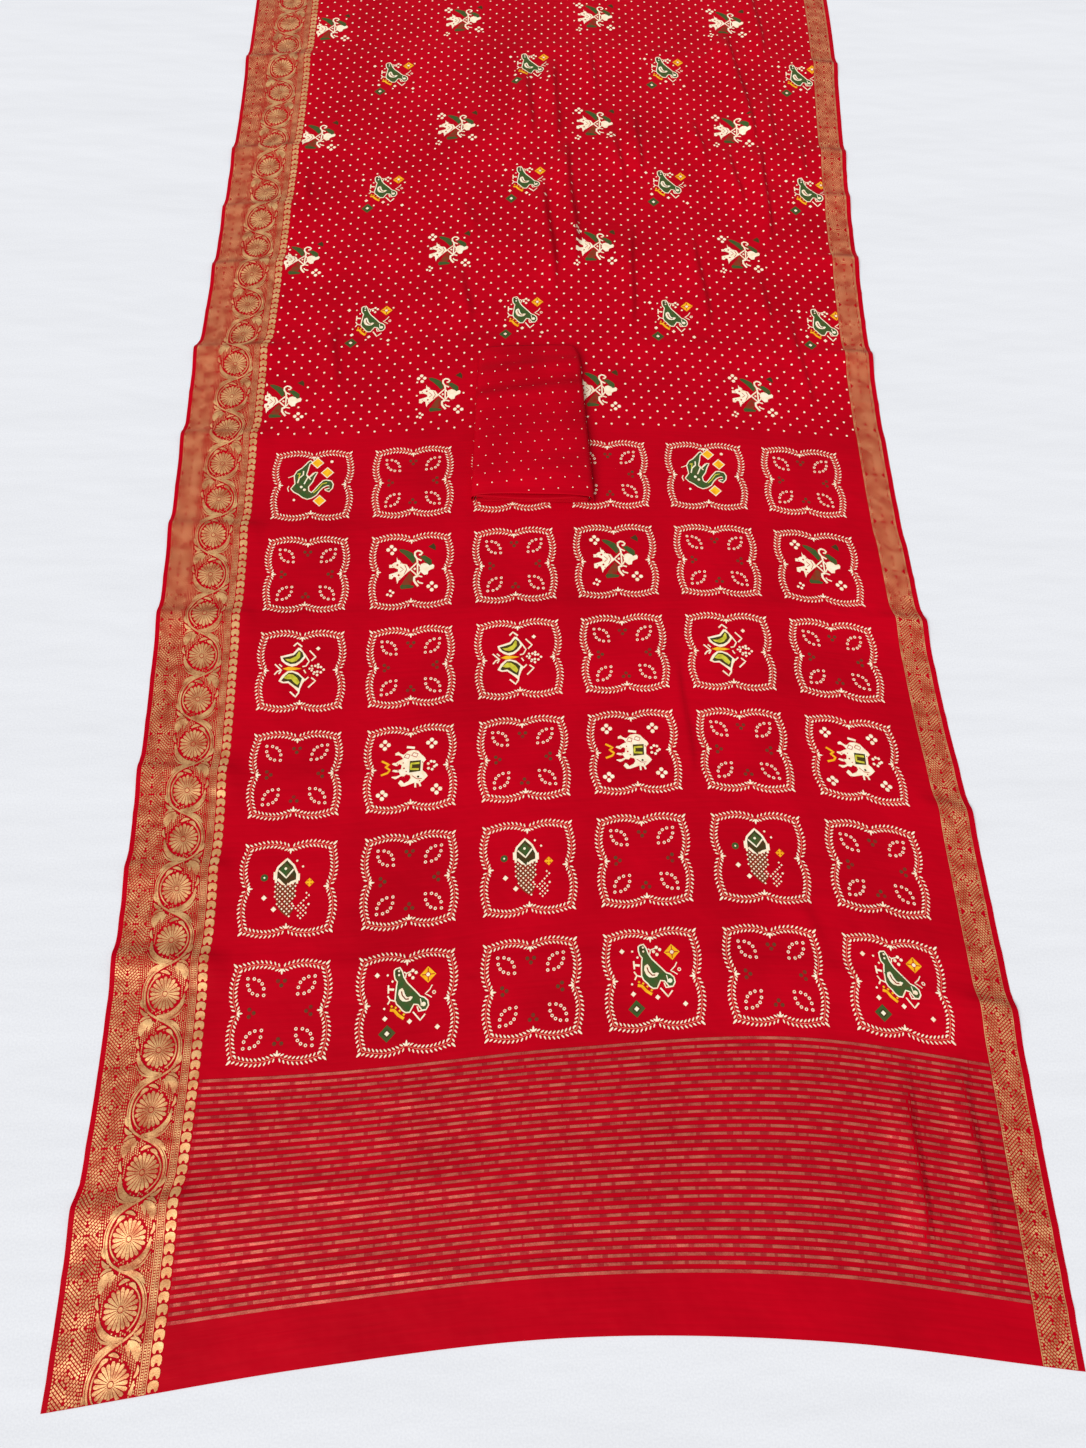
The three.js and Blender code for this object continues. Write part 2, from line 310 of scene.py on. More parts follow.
class Wire:
    """One value or colour in a material. A sum on values adds its Math nodes."""

    def __init__(self, tree, socket=None):
        self.tree = tree
        self.socket = socket

    def node(self, kind, settings, sockets, out=0):
        """Adds any node: its settings first, then the values or wires of its sockets."""
        made = self.tree.nodes.new(kind)
        for name, value in settings.items():
            if name == "stops":
                for stop, (at, colour) in zip(made.color_ramp.elements, value):
                    stop.position = at
                    stop.color = colour
            else:
                setattr(made, name, value)
        for name, value in sockets.items():
            if isinstance(value, Wire):
                self.tree.links.new(value.socket, made.inputs[name])
            else:
                made.inputs[name].default_value = value
        return Wire(self.tree, made.outputs[out])

    def maths(self, operation, first, second):
        return self.node("ShaderNodeMath", {"operation": operation}, {0: first, 1: second})

    def __add__(self, other):
        return self.maths("ADD", self, other)

    def __sub__(self, other):
        return self.maths("SUBTRACT", self, other)

    def __rsub__(self, other):
        return self.maths("SUBTRACT", other, self)

    def __mul__(self, other):
        return self.maths("MULTIPLY", self, other)

    __radd__ = __add__
    __rmul__ = __mul__

    def over(self, edge, width):
        """0 below an edge, rising to 1 a width above it."""
        sockets = {"Value": self, "From Min": edge, "From Max": edge + width}
        return self.node("ShaderNodeMapRange", {"clamp": True}, sockets)

    def mix(self, first, second):
        """The first colour where this value is 0 and the second where it is 1."""
        sockets = {0: self, 6: first, 7: second}
        return self.node("ShaderNodeMix", {"data_type": "RGBA"}, sockets, out=2)


def colour(red, green, blue):
    """A colour given as it looks, from 0 to 255, as the shader takes it: sRGB made linear."""
    parts = np.array([red, green, blue]) / 255
    linear = np.where(parts < 0.04045, parts / 12.92, ((parts + 0.055) / 1.055) ** 2.4)
    return (*linear.tolist(), 1.0)


def new_material(name, roughness, **constants):
    """A material, its shader, and the cloth's across and along as a wire."""
    material = bpy.data.materials.new(name)
    material.use_nodes = True
    shader = material.node_tree.nodes["Principled BSDF"]
    shader.inputs["Roughness"].default_value = roughness
    for socket, value in constants.items():
        shader.inputs[socket.replace("_", " ")].default_value = value
    start = Wire(material.node_tree)
    return material, shader, start.node("ShaderNodeUVMap", {"uv_map": "Cloth"}, {})


def noise(at, scale, stretch=(1.0, 1.0), detail=2.0):
    """Noise on the cloth, stretched by a factor across and along."""
    sockets = {0: at, 1: (*stretch, 1.0)}
    grid = at.node("ShaderNodeVectorMath", {"operation": "MULTIPLY"}, sockets)
    return at.node("ShaderNodeTexNoise", {}, {"Vector": grid, "Scale": scale, "Detail": detail})


def set_bump(shader, height, distance, strength):
    sockets = {"Height": height, "Distance": distance, "Strength": strength}
    normal = height.node("ShaderNodeBump", {}, sockets)
    height.tree.links.new(normal.socket, shader.inputs["Normal"])


def set_colour(shader, wire):
    wire.tree.links.new(wire.socket, shader.inputs["Base Color"])


def red_crepe(name, fresh, worn):
    """Red art-silk crepe: dyed a little unevenly, with fine slubs along the weft."""
    material, shader, at = new_material(name, roughness=0.5, Specular_IOR_Level=0.03)
    dye = noise(at, 7.0, detail=3.0)
    slub = noise(at, 1.0, (12.0, 260.0))
    ridge = noise(at, 26.0)
    grain = noise(at, 900.0)
    set_colour(shader, (dye * 1.3 + slub * 0.5 - 0.45).over(0.2, 0.6).mix(worn, fresh))
    set_bump(shader, ridge + slub * 0.06 + grain * 0.05, distance=0.004, strength=0.5)
    return material


red = colour(198, 0, 26)
deep_red = colour(176, 0, 21)
index = np.arange(rows * (columns + 1)).reshape(rows, columns + 1)
cloth_flat = np.stack([grid_across, grid_along], 1)
saree_crepe = red_crepe("saree_crepe", red, deep_red)
saree = new_piece("saree", top, grid_faces(index), cloth_flat, saree_crepe)
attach(saree, "root")
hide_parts("saree_cloth")


class Shapes:
    """Flat outlines in metres across and along, each at its own small lift off the cloth."""

    def __init__(self):
        self.points = []
        self.faces = []
        self.count = 0
        self.lift = 0.0

    def add(self, points, faces):
        points = np.asarray(points, float)
        if points.shape[1] == 2:
            points = np.column_stack([points, np.full(len(points), self.lift)])
        self.points.append(points)
        self.faces += [tuple(int(i) + self.count for i in face) for face in faces]
        self.count += len(points)

    def fill(self, points):
        points = np.asarray(points, float)
        after = np.roll(points, -1, 0)
        turn = (points[:, 0] * after[:, 1] - after[:, 0] * points[:, 1]).sum()
        self.add(points if turn > 0 else points[::-1], [range(len(points))])

    def line(self, points, half_width):
        """A stroke of even or changing half width along a line, closed if its ends meet."""
        points = np.asarray(points, float)
        way = np.gradient(points, axis=0)
        if np.allclose(points[0], points[-1]):
            way[0] = way[-1] = points[1] - points[-2]
        side = np.stack([-way[:, 1], way[:, 0]], 1)
        side *= (half_width / np.linalg.norm(side, axis=1))[:, None]
        n = len(points)
        steps = [(i, i + 1, n + i + 1, n + i) for i in range(n - 1)]
        self.add(np.concatenate([points - side, points + side]), steps)

    def dots(self, centres, radius, sides=6):
        turn = 2 * np.pi * np.arange(sides) / sides
        rim = radius * np.stack([np.cos(turn), np.sin(turn)], 1)
        points = (np.asarray(centres, float)[:, None] + rim).reshape(-1, 2)
        self.add(points, np.arange(len(points)).reshape(-1, sides))

    def joined(self):
        return np.concatenate(self.points), self.faces

    def repeat(self, shapes, places, mirror=(1, 1), lift=0.0):
        """Adds other shapes again at each place, mirrored across or along if asked."""
        points, faces = shapes.joined()
        points = points * (*mirror, 1)
        if mirror[0] * mirror[1] < 0:
            faces = [face[::-1] for face in faces]
        for place in places:
            self.add(points + (*place, lift), faces)

    def kept(self, inside):
        """Only the faces whose middle passes the test."""
        points, faces = self.joined()
        middles = np.array([points[list(face)].mean(0) for face in faces])
        wanted = inside(middles[:, 0], middles[:, 1])
        left = Shapes()
        left.add(points, [face for face, keep in zip(faces, wanted) if keep])
        return left


def finer(points, step):
    """The same line with no part longer than a step."""
    line = [points[0]]
    for a, b in zip(np.asarray(points[:-1], float), np.asarray(points[1:], float)):
        parts = max(1, int(np.ceil(np.linalg.norm(b - a) / step)))
        line += [a + (b - a) * k / parts for k in range(1, parts + 1)]
    return np.array(line)


def curve(points, count):
    """A smooth line through points."""
    points = np.asarray(points, float)
    at = np.linspace(0, len(points) - 1, count)
    return np.stack([through(np.arange(len(points)), points[:, i], at) for i in (0, 1)], 1)


def on_cloth(flat, lift):
    """Where flat points of the cloth lie on the laid sheet, a little above it."""
    across = np.clip(flat[:, 0], 0, cloth_width)
    along = np.clip(flat[:, 1], 0, cloth_length)
    share = across / cloth_width

    def weft(line):
        """How far along a weft line of the mesh lies."""
        return weft_left[line] + (weft_right[line] - weft_left[line]) * share

    low = np.zeros(len(flat), int)
    high = np.full(len(flat), rows - 1)
    while (high - low).max() > 1:
        middle = (low + high) // 2
        below = weft(middle) <= along
        low = np.where(below, middle, low)
        high = np.where(below, high, middle)
    start = weft(low)
    end = weft(high)
    v = ((along - start) / (end - start))[:, None]
    column = np.minimum((across / across_step).astype(int), columns - 1)
    u = (across / across_step - column)[:, None]
    near = top[index[low, column]] * (1 - u) + top[index[low, column + 1]] * u
    far = top[index[high, column]] * (1 - u) + top[index[high, column + 1]] * u
    laid_at = near * (1 - v) + far * v
    laid_at[:, 2] += lift + flat[:, 2]
    return laid_at


def put_on_cloth(name, shapes, lift, material, slot):
    """Makes flat shapes a piece that follows the laid cloth."""
    flat, faces = shapes.joined()
    piece = new_piece(name, on_cloth(flat, lift), faces, flat[:, :2], material)
    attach(piece, "root")


# What is woven in or printed lies this far above the sheet, and what lies over it a little
# further. Where the strokes of one piece cross, each is a step above the one before.
first_lift = 0.0003
second_lift = 0.0004
layer_step = 0.00003


# The wide border: coppery gold zari brocaded into the red ground along the left selvedge. It
# has a strip of nested diamonds in short floats, a scroll of round flowers in a winding vine,
# two fine ladder columns, and a row of notched coins along its inner edge.
def zari(name, sheen_colour, shade_colour):
    """Flat metal thread, half dulled and crushed, its colour in random patches of painted sheen and
    painted shade.
    """
    material, shader, at = new_material(
        name, roughness=0.42, Metallic=0.4, Specular_IOR_Level=0.3
    )
    patch = noise(at, 55.0)
    crush = noise(at, 17.0, (0.35, 1.0))
    thread = noise(at, 620.0)
    # Painted sheen and shade: random patches mix the bright tone, a painted sheen, with the deep tone,
    # a painted shade; the fine threads vary the tone as well.
    set_colour(shader, (patch + thread * 0.6 - 0.3).over(0.3, 0.4).mix(shade_colour, sheen_colour))
    set_bump(shader, crush + thread * 0.02 + patch * 0.12, distance=0.012, strength=0.6)
    return material


# The first tone of each zari is a painted sheen and the second a painted shade.
gold = zari("zari_gold", colour(242, 192, 130), colour(176, 98, 58))
bright_gold = zari("zari_bright", colour(242, 190, 130), colour(208, 138, 84))
end_clear = 0.001
bend_step = 0.006
diamond_repeat = 0.085
diamond_start = 0.3
diamond_count = int(cloth_length / diamond_repeat) + 2
float_gap_along = 0.0036
float_gap_across = 0.0031
float_half_width = 0.00098
float_half_length = 0.00140
floats_each_way = 20
hatch_middle = 0.0218
hatch_half_width = 0.0140
hatch_columns = (0.0072, 0.0364, 0.0388)
fine_pitch = 0.0032
four_mirrors = ((1, 1), (-1, 1), (1, -1), (-1, -1))


def on_the_cloth(across, along):
    return (along > end_clear) & (along < cloth_length - end_clear)


def nested_diamonds(middle, half_width):
    """Short floats lying along nested diamonds, over a strip of the cloth."""
    quarter = Shapes()
    way = np.array([1, -1]) / np.sqrt(2)
    out = np.array([1, 1]) / np.sqrt(2)
    height = diamond_repeat / 2
    for n in range(int((half_width + height) / np.sqrt(2) / float_gap_across) + 1):
        for m in range(-floats_each_way, floats_each_way + 1):
            centre = out * (n + 0.5) * float_gap_across + way * (m + n % 2 / 2) * float_gap_along
            if 0 < centre[0] < half_width and 0 < centre[1] < height:
                ends = [centre - way * float_half_length, centre + way * float_half_length]
                quarter.line(ends, float_half_width)
    repeat = Shapes()
    for n, mirror in enumerate(four_mirrors):
        repeat.repeat(quarter, [(0, 0)], mirror, n * layer_step)
    strip = Shapes()
    starts = [(k + diamond_start) * diamond_repeat for k in range(diamond_count)]
    strip.repeat(repeat, [(middle, start) for start in starts])
    return strip.kept(on_the_cloth)


def add_columns(shapes, middles, pitch, half_across, half_along, lift=0.0):
    """Columns of small square floats along the whole cloth."""
    marks = Shapes()
    for middle in middles:
        for k in range(int(cloth_length / pitch)):
            along = (k + 0.5) * pitch
            ends = [(middle, along - half_along), (middle, along + half_along)]
            marks.line(ends, half_across)
    shapes.repeat(marks, [(0, 0)], lift=lift)


def add_gold_lines(shapes, middles, half_width):
    """Fine lines along the whole cloth, in parts short enough to follow its folds."""
    for middle in middles:
        ends = [(middle, end_clear), (middle, cloth_length - end_clear)]
        shapes.line(finer(ends, bend_step), half_width)


border_hatch = nested_diamonds(hatch_middle, hatch_half_width)
add_columns(
    border_hatch, hatch_columns, fine_pitch, half_across=0.0007, half_along=0.0009, lift=5 * layer_step
)
put_on_cloth("border_hatch", border_hatch, first_lift, gold, "gold_zari")

# One flower of the scroll with its stretch of vine, which passes it on the right; the next
# flower along has the mirrored stretch.
flower_pitch = 0.0653
first_flower = 0.0146
scroll_middle = 0.0688
scroll_half_width = 0.0288
petals = 20
flower_across = 0.0188
flower_along = 0.0202
short_petal = 0.94
petal_places = np.array([0.18, 0.4, 0.65, 0.88, 1.0])
petal_half_widths = np.array([0.0004, 0.0009, 0.0015, 0.0021, 0.0011])
flower_heart = 0.0026
vine_half_width = 0.0012
inner_vine = (0.0206, 0.0228)
inner_vine_half_width = 0.0008
outer_vine_off = (0.0026, 0.0008)
outer_vine_half_width = 0.0006
leaf_foot = 0.25
leaf_point = 0.12


def leaf(points, half_width, widest_at, count=9):
    """A leaf along a curve: widest part way along, narrow at its foot and its point."""
    share = np.linspace(0, 1, count)
    width = np.interp(share, [0, widest_at, 1], [leaf_foot, 1, leaf_point])
    return curve(points, count), half_width * np.sin(width * np.pi / 2)


scroll_unit = Shapes()
for k in range(petals):
    scroll_unit.lift = k % 2 * layer_step
    turn = 2 * np.pi * k / petals
    way = np.array([np.cos(turn), np.sin(turn)])
    reach = (1 if k % 2 else short_petal) * np.array([flower_across, flower_along])
    scroll_unit.line(way * reach * petal_places[:, None], petal_half_widths)
scroll_unit.lift = 3 * layer_step
scroll_unit.dots([(0, 0)], flower_heart, 10)
vine_points = np.array([
    (8.0, -28.0), (17.5, -21.5), (23.0, -11.0), (24.4, 0.0),
    (22.4, 12.0), (15.5, 23.5), (5.0, 31.0), (-8.0, 37.3),
]) * 0.001
scroll_unit.line(curve(vine_points, 22), vine_half_width)
inner_turn = np.radians(np.linspace(-62, 70, 14))
inner = np.stack([np.cos(inner_turn), np.sin(inner_turn)], 1) * inner_vine
scroll_unit.lift = 4 * layer_step
scroll_unit.line(inner, inner_vine_half_width)
outer = curve(vine_points[1:7] + outer_vine_off, 15)
scroll_unit.lift = 5 * layer_step
scroll_unit.line(outer, outer_vine_half_width)

# The scroll's leaves: half width in millimetres and the share of the way at which they are
# widest, then the points of their middle line, in millimetres from the flower's middle.
leaves = [
    (3.3, 0.45, [(7.0, -26.6), (-4.5, -26.2), (-14.5, -21.0), (-21.5, -12.0), (-24.2, 0.0)]),
    (2.5, 0.5, [(3.0, -31.2), (-7.0, -32.4), (-16.5, -36.6), (-23.5, -44.5)]),
    (1.1, 0.5, [(2.0, -28.6), (-8.0, -29.2), (-18.0, -25.0), (-25.8, -14.5)]),
    (4.8, 0.62, [(12.5, -30.5), (18.5, -33.5), (23.0, -39.5), (24.0, -48.5)]),
    (2.0, 0.5, [(10.0, -32.5), (14.0, -37.5), (15.6, -44.0)]),
    (1.6, 0.5, [(15.0, -27.0), (21.0, -27.6), (27.0, -32.0)]),
    (2.1, 0.5, [(17.8, -24.4), (23.0, -23.0), (27.2, -18.0)]),
    (1.5, 0.5, [(24.0, -16.4), (27.0, -12.0), (27.9, -6.0)]),
    (1.7, 0.5, [(-23.8, 2.5), (-26.6, 7.5), (-26.4, 13.5)]),
    (1.9, 0.5, [(6.0, 22.6), (10.5, 21.6), (14.6, 17.6)]),
    (1.9, 0.5, [(-5.0, 23.0), (0.5, 26.0), (6.2, 26.2)]),
]
for half_width, widest_at, points in leaves:
    scroll_unit.lift += layer_step
    scroll_unit.line(*leaf(np.array(points) * 0.001, half_width * 0.001, widest_at))
taken = scroll_unit.joined()[0][:, :2]

# Short floats fill the red ground that the scroll leaves.
filler_pitch = 0.0024
filler_half_length = 0.0008
filler_half_width = 0.0006
filler_clear = 0.0020
flower_clear = 0.0205
left_end = 0.001 - scroll_half_width
near_end = (filler_pitch - flower_pitch) / 2
filler = Shapes()
for i, across in enumerate(np.arange(left_end, scroll_half_width, filler_pitch)):
    for along in np.arange(near_end, flower_pitch / 2, filler_pitch):
        spot = np.array([across, along + (i % 2) * filler_pitch / 2])
        away = np.linalg.norm(taken - spot, axis=1).min()
        if np.linalg.norm(spot) > flower_clear and away > filler_clear:
            end = (0, filler_half_length)
            filler.line([spot - end, spot + end], filler_half_width)
scroll_unit.repeat(filler, [(0, 0)])
scroll = Shapes()
for k in range(-1, int(cloth_length / flower_pitch) + 2):
    side = 1 if k % 2 else -1
    place = (scroll_middle, first_flower + k * flower_pitch)
    scroll.repeat(scroll_unit, [place], (side, 1), lift=k % 2 * layer_step / 2)
scroll = scroll.kept(on_the_cloth)

# The ladder beside the scroll: two columns of floats between three fine lines.
ladder_pitch = 0.0026
ladder_columns = (0.1008, 0.1046)
ladder_lines = (0.0987, 0.1027, 0.1066)
add_columns(scroll, ladder_columns, ladder_pitch, half_across=0.0010, half_along=0.0008)
add_gold_lines(scroll, ladder_lines, 0.00045)
put_on_cloth("border_scroll", scroll, first_lift, gold, "gold_zari")

# The coins: solid rounds of brighter gold, each with a notch in its near edge.
coin_pitch = 0.0113
coin_start = 0.55
coin_middle = 0.1140
coin = Shapes()
coin.fill([
    (-0.0058, 0.0), (-0.0055, 0.0030), (-0.0036, 0.0050), (0.0, 0.0057), (0.0036, 0.0050),
    (0.0055, 0.0030), (0.0058, 0.0), (0.0052, -0.0034), (0.0034, -0.0049), (0.0020, -0.0042),
    (0.0016, -0.0024), (0.0, -0.0014), (-0.0016, -0.0024), (-0.0020, -0.0042),
    (-0.0034, -0.0049), (-0.0052, -0.0034),
])
coins = Shapes()
coin_count = int(cloth_length / coin_pitch)
coins.repeat(coin, [(coin_middle, (k + coin_start) * coin_pitch) for k in range(coin_count)])
put_on_cloth("border_coins", coins, first_lift, bright_gold, "gold_zari")

# The narrow border along the right selvedge: the same nested diamonds, with a column of fine
# square floats and a thin gold line along each edge.
narrow_middle = 1.09315
narrow_half_width = 0.0145
narrow_columns = (1.0768, 1.1095)
narrow_lines = (1.0748, 1.1114)
narrow = nested_diamonds(narrow_middle, narrow_half_width)
add_columns(
    narrow, narrow_columns, fine_pitch, half_across=0.0010, half_along=0.0010, lift=5 * layer_step
)
narrow.lift = 6 * layer_step
add_gold_lines(narrow, narrow_lines, 0.0005)
put_on_cloth("narrow_border", narrow, first_lift, gold, "gold_zari")

# The pallu's stripes: 31 bars of zari woven in from border to border, dull rose gold with
# brighter dashes where the metal thread lies on top. The first and last bars are solid gold.
stripe_first = 0.0606
stripe_pitch = 0.00812
stripe_count = 31
stripe_half_width = 0.0017
stripe_from = 0.1210
stripe_to = 1.0742
dash_shortest = 0.008
dash_longest = 0.034
dash_narrowest = 0.75
dash_first = 0.004
dash_room = 0.012
dash_end_clear = 0.002
dash_gap_shortest = 0.002
dash_gap_longest = 0.011
chance = np.random.default_rng(7)
bars = Shapes()
dashes = Shapes()
for k in range(stripe_count):
    along = stripe_first + k * stripe_pitch
    bars.line(finer([(stripe_from, along), (stripe_to, along)], bend_step), stripe_half_width)
    across = stripe_from + dash_first
    while across < stripe_to - dash_room:
        length = chance.uniform(dash_shortest, dash_longest)
        if k in (0, stripe_count - 1):
            length = cloth_width
        end = min(across + length, stripe_to - dash_end_clear)
        half_width = stripe_half_width * chance.uniform(dash_narrowest, 1.0)
        dashes.line(finer([(across, along), (end, along)], bend_step), half_width)
        across = end + chance.uniform(dash_gap_shortest, dash_gap_longest)
# Here too the first tone is a painted sheen and the second a painted shade.
rose_gold = zari("zari_rose", colour(178, 52, 48), colour(162, 26, 32))
dash_gold = zari("zari_dashes", colour(204, 106, 84), colour(172, 52, 48))
put_on_cloth("pallu_bars", bars, first_lift, rose_gold, "gold_zari")
put_on_cloth("pallu_dashes", dashes, second_lift, dash_gold, "gold_zari")

# The pallu's panels: six rows of six, each in a frame of two bows a side, printed as a thin
# coral stem with pairs of small cream leaves. They meet at inward points with a three-leaf
# tip, and a single leaf stands out at each corner.
def ink(name, worn, fresh):
    """A pigment print: matte, and a little uneven where the weave shows through."""
    material, shader, at = new_material(name, roughness=0.82, Specular_IOR_Level=0.1)
    patch = noise(at, 140.0)
    set_colour(shader, patch.over(0.3, 0.3).mix(worn, fresh))
    set_bump(shader, noise(at, 700.0), distance=0.0004, strength=0.4)
    return material


cream = ink("ink_cream", colour(250, 222, 184), colour(255, 243, 214))
coral = ink("ink_coral", colour(226, 70, 60), colour(242, 120, 96))
ground = ink("ink_ground_red", deep_red, red)
panel_rows = 6
panel_pitch_across = 0.1534
panel_pitch_along = 0.1536
panel_middle_across = 0.2100
panel_middle_along = 0.3803
column_shifts = [0.0, 0.0014, 0.0020, 0.0007, 0.0006, 0.0]
stem = curve([(-53, 53), (-41, 56.2), (-27, 58), (-13, 56.5), (0, 51.5)], 14) * 0.001
stem_half_width = 0.00045
leaf_first = 0.004
leaf_last = 0.001
leaf_gap = 0.0052
leaf_length = 0.0048
leaf_half_width = 0.00090
leaf_splay = np.radians(50)
leaf_off_stem = 0.0015
leaf_places = np.array([0.0, 0.3, 0.7, 1.0])
leaf_widths = np.array([0.45, 1.0, 0.9, 0.25])


def measured(line):
    """How far along a line each of its points lies."""
    steps = np.linalg.norm(np.diff(line, axis=0), axis=1)
    return np.concatenate([[0], np.cumsum(steps)])


def point_at(line, lengths, length):
    """The point of a measured line at a length along it."""
    return np.stack([np.interp(length, lengths, line[:, i]) for i in (0, 1)])


def small_leaf(shapes, foot, turn, length, half_width):
    way = np.array([np.cos(turn), np.sin(turn)])
    shapes.line(foot + way * (leaf_places * length)[:, None], half_width * leaf_widths)


side_leaves = Shapes()
side_stem = Shapes()
side_stem.line(stem, stem_half_width)
stem_length = measured(stem)
for length in np.arange(leaf_first, stem_length[-1] - leaf_last, leaf_gap):
    foot = point_at(stem, stem_length, length)
    ahead = point_at(stem, stem_length, length + 0.001)
    back = np.arctan2(*(foot - ahead)[::-1])
    for side in (-1, 1):
        beside = back + side * np.pi / 2
        off = leaf_off_stem * np.array([np.cos(beside), np.sin(beside)])
        small_leaf(side_leaves, foot + off, back + side * leaf_splay, leaf_length, leaf_half_width)
tip = stem[-1]
corner = np.array([-0.0545, 0.0545])
small_leaf(side_leaves, tip, np.radians(-145), length=0.0052, half_width=0.0011)
side_ends = Shapes()
small_leaf(side_ends, tip, np.radians(-90), length=0.0066, half_width=0.0012)
small_leaf(side_ends, corner, np.radians(135), length=0.0070, half_width=0.0013)


def four_sides(half_side, mirrors=(1, -1)):
    """A half side and its mirror image, turned to all four sides of a panel."""
    points, faces = half_side.joined()
    whole = Shapes()
    for quarter in range(4):
        cos, sin = np.cos(quarter * np.pi / 2), np.sin(quarter * np.pi / 2)
        for mirror in mirrors:
            x, y = points[:, 0] * mirror, points[:, 1]
            turned = np.stack([x * cos - y * sin, x * sin + y * cos, points[:, 2]], 1)
            turned[:, 2] += (quarter * 2 + (mirror < 0)) * layer_step
            whole.add(turned, [face[::mirror] for face in faces])
    return whole


panels = []
for row in range(panel_rows):
    for column_at, shift in enumerate(column_shifts):
        across = panel_middle_across + column_at * panel_pitch_across + shift
        panels.append((row, column_at, (across, panel_middle_along + row * panel_pitch_along)))
frames = Shapes()
places = [place for _, _, place in panels]
frames.repeat(four_sides(side_leaves), places)
frames.repeat(four_sides(side_ends, (1,)), places, lift=8 * layer_step)
put_on_cloth("frame_leaves", frames, second_lift, cream, "cream_print")
stems = Shapes()
stems.repeat(four_sides(side_stem), places)
put_on_cloth("frame_stems", stems, first_lift, coral, "red_cloth")

# Every second panel holds four pointed ovals of small cream rings printed to look tied, one
# towards each corner with red middles, and three olive dots inside the middle of each side.
oval_middle = 0.031
oval_half_length = 0.0145
oval_half_width = 0.0082
ring_radius = 0.0021
hole_radius = 0.0010
trio_radius = 0.0025
empty_places = [place for row, column_at, place in panels if (row + column_at) % 2 == 0]
oval = []
for share in (-1.0, -0.6, -0.2, 0.2, 0.6, 1.0):
    for side in (-1, 1) if abs(share) < 1 else (0,):
        bulge = side * oval_half_width * (1 - share * share)
        out = oval_middle * np.sqrt(2) + share * oval_half_length
        oval.append(((out - bulge) / np.sqrt(2), (out + bulge) / np.sqrt(2)))
rings = Shapes()
holes = Shapes()
for mirror in four_mirrors:
    rings.dots(np.array(oval) * mirror, ring_radius, 8)
    holes.dots(np.array(oval) * mirror, hole_radius)
trio = Shapes()
trio_spots = np.array([(0, 0.0318), (-0.0042, 0.0372), (0.0042, 0.0372)])
for turned in (trio_spots, -trio_spots, trio_spots[:, ::-1], -trio_spots[:, ::-1]):
    trio.dots(turned, trio_radius, 8)
olive = ink("ink_olive", colour(134, 32, 28), colour(92, 64, 36))
for name, part, lift, material, slot in (
    ("panel_ovals", rings, first_lift, cream, "cream_print"),
    ("panel_oval_holes", holes, second_lift, ground, "red_cloth"),
    ("panel_trios", trio, first_lift, olive, "green_print"),
):
    everywhere = Shapes()
    everywhere.repeat(part, empty_places)
    put_on_cloth(name, everywhere, lift, material, slot)

# The printed motifs of the panels and the body, charted in millimetres about their middles:
# parrot, dancer, butterfly, elephant, fish and swan. Each shape has its ink, its kind, the
# size of its stroke or dot, and its points. An edged shape has a cream outline as well.
parrot = [
    ("green", "edged", 1.6, [
        (-14, 42), (-9, 43), (-6, 38), (-4, 31), (0, 24), (11, 12), (16, 6), (21, 4), (25, 0),
        (26, -6), (23, -11), (18, -11), (15, -7), (13, -4), (8, -3), (3, -12), (-2, -12), (-6, -9),
        (-9, -5), (-13, -1), (-15, 4), (-14, 13), (-13, 21), (-12, 26), (-15, 30), (-16, 35),
        (-16, 40),
    ]),
    ("dark", "fill", 0, [(-13, 41), (-9, 40), (-9, 36), (-11, 32), (-14, 35), (-14, 38)]),
    ("cream", "fill", 0, [
        (-6, 18), (-10, 16), (-11, 11), (-9, 5), (-6, 2), (-1, 1), (4, 2), (7, 6), (4, 7), (1, 6),
        (-1, 7), (-3, 11), (-4, 15),
    ]),
    ("rust", "line", 1.6, [(-7, 14), (-6, 9), (-2, 4), (2, 4)]),
    ("cream", "dots", 1.4, [(-10, 39), (-10, 34), (-24, 35), (-18, 27), (-28, -5)]),
    ("cream", "dots", 2.8, [(20, -4)]),
    ("cream", "line", 1.2, [(16, 3), (17, -2), (17, -6)]),
    ("cream", "line", 2.0, [(-23, 23), (-23, 13)]),
    ("cream", "line", 2.6, [(-23, 18), (-16, 17)]),
    ("cream", "line", 1.8, [(-24, 10), (-21, 5), (-24, 0)]),
    ("cream", "line", 1.6, [(-21, 5), (-15, 3)]),
    ("cream", "line", 1.4, [(-4, 37), (-1, 35), (-2, 30)]),
    ("cream", "line", 1.4, [(-1, 35), (5, 37)]),
    ("cream", "dots", 2.1, [(7, 38), (11, 35), (7, 29), (3, 33)]),
    ("yellow", "diamonds", 10, [(26, 31)]),
    ("ground", "diamonds", 4.2, [(26, 31)]),
    ("ground", "line", 1.1, [(18, 31), (34, 31)]),
    ("ground", "line", 1.1, [(26, 23), (26, 39)]),
    ("cream", "dots", 2.4, [(26, 31)]),
    ("cream", "line", 1.3, [(31, 18), (28, 13), (22, 8), (26, 6), (30, 3)]),
    ("cream", "dots", 2.4, [(33, 9)]),
    ("ground", "dots", 1.2, [(33, 9)]),
    ("cream", "line", 1.8, [(7, -12), (16, -23), (22, -16)]),
    ("cream", "line", 1.6, [(12, -6), (14, -12), (23, -11)]),
    ("yellow", "line", 3.4, [(-21, -7), (-16, -8), (-11, -14), (-4, -19)]),
    ("yellow", "diamonds", 1.7, [(-19, -3), (-14, -5), (-9, -9), (-4, -14)]),
    ("cream", "diamonds", 3.3, [(-37, 36), (-27, -17), (3, -23), (37, -33)]),
    ("green", "diamonds", 10.5, [(-24, -35)]),
    ("dark", "diamonds", 5.6, [(-24, -35)]),
    ("cream", "diamonds", 3.2, [(-24, -35)]),
]
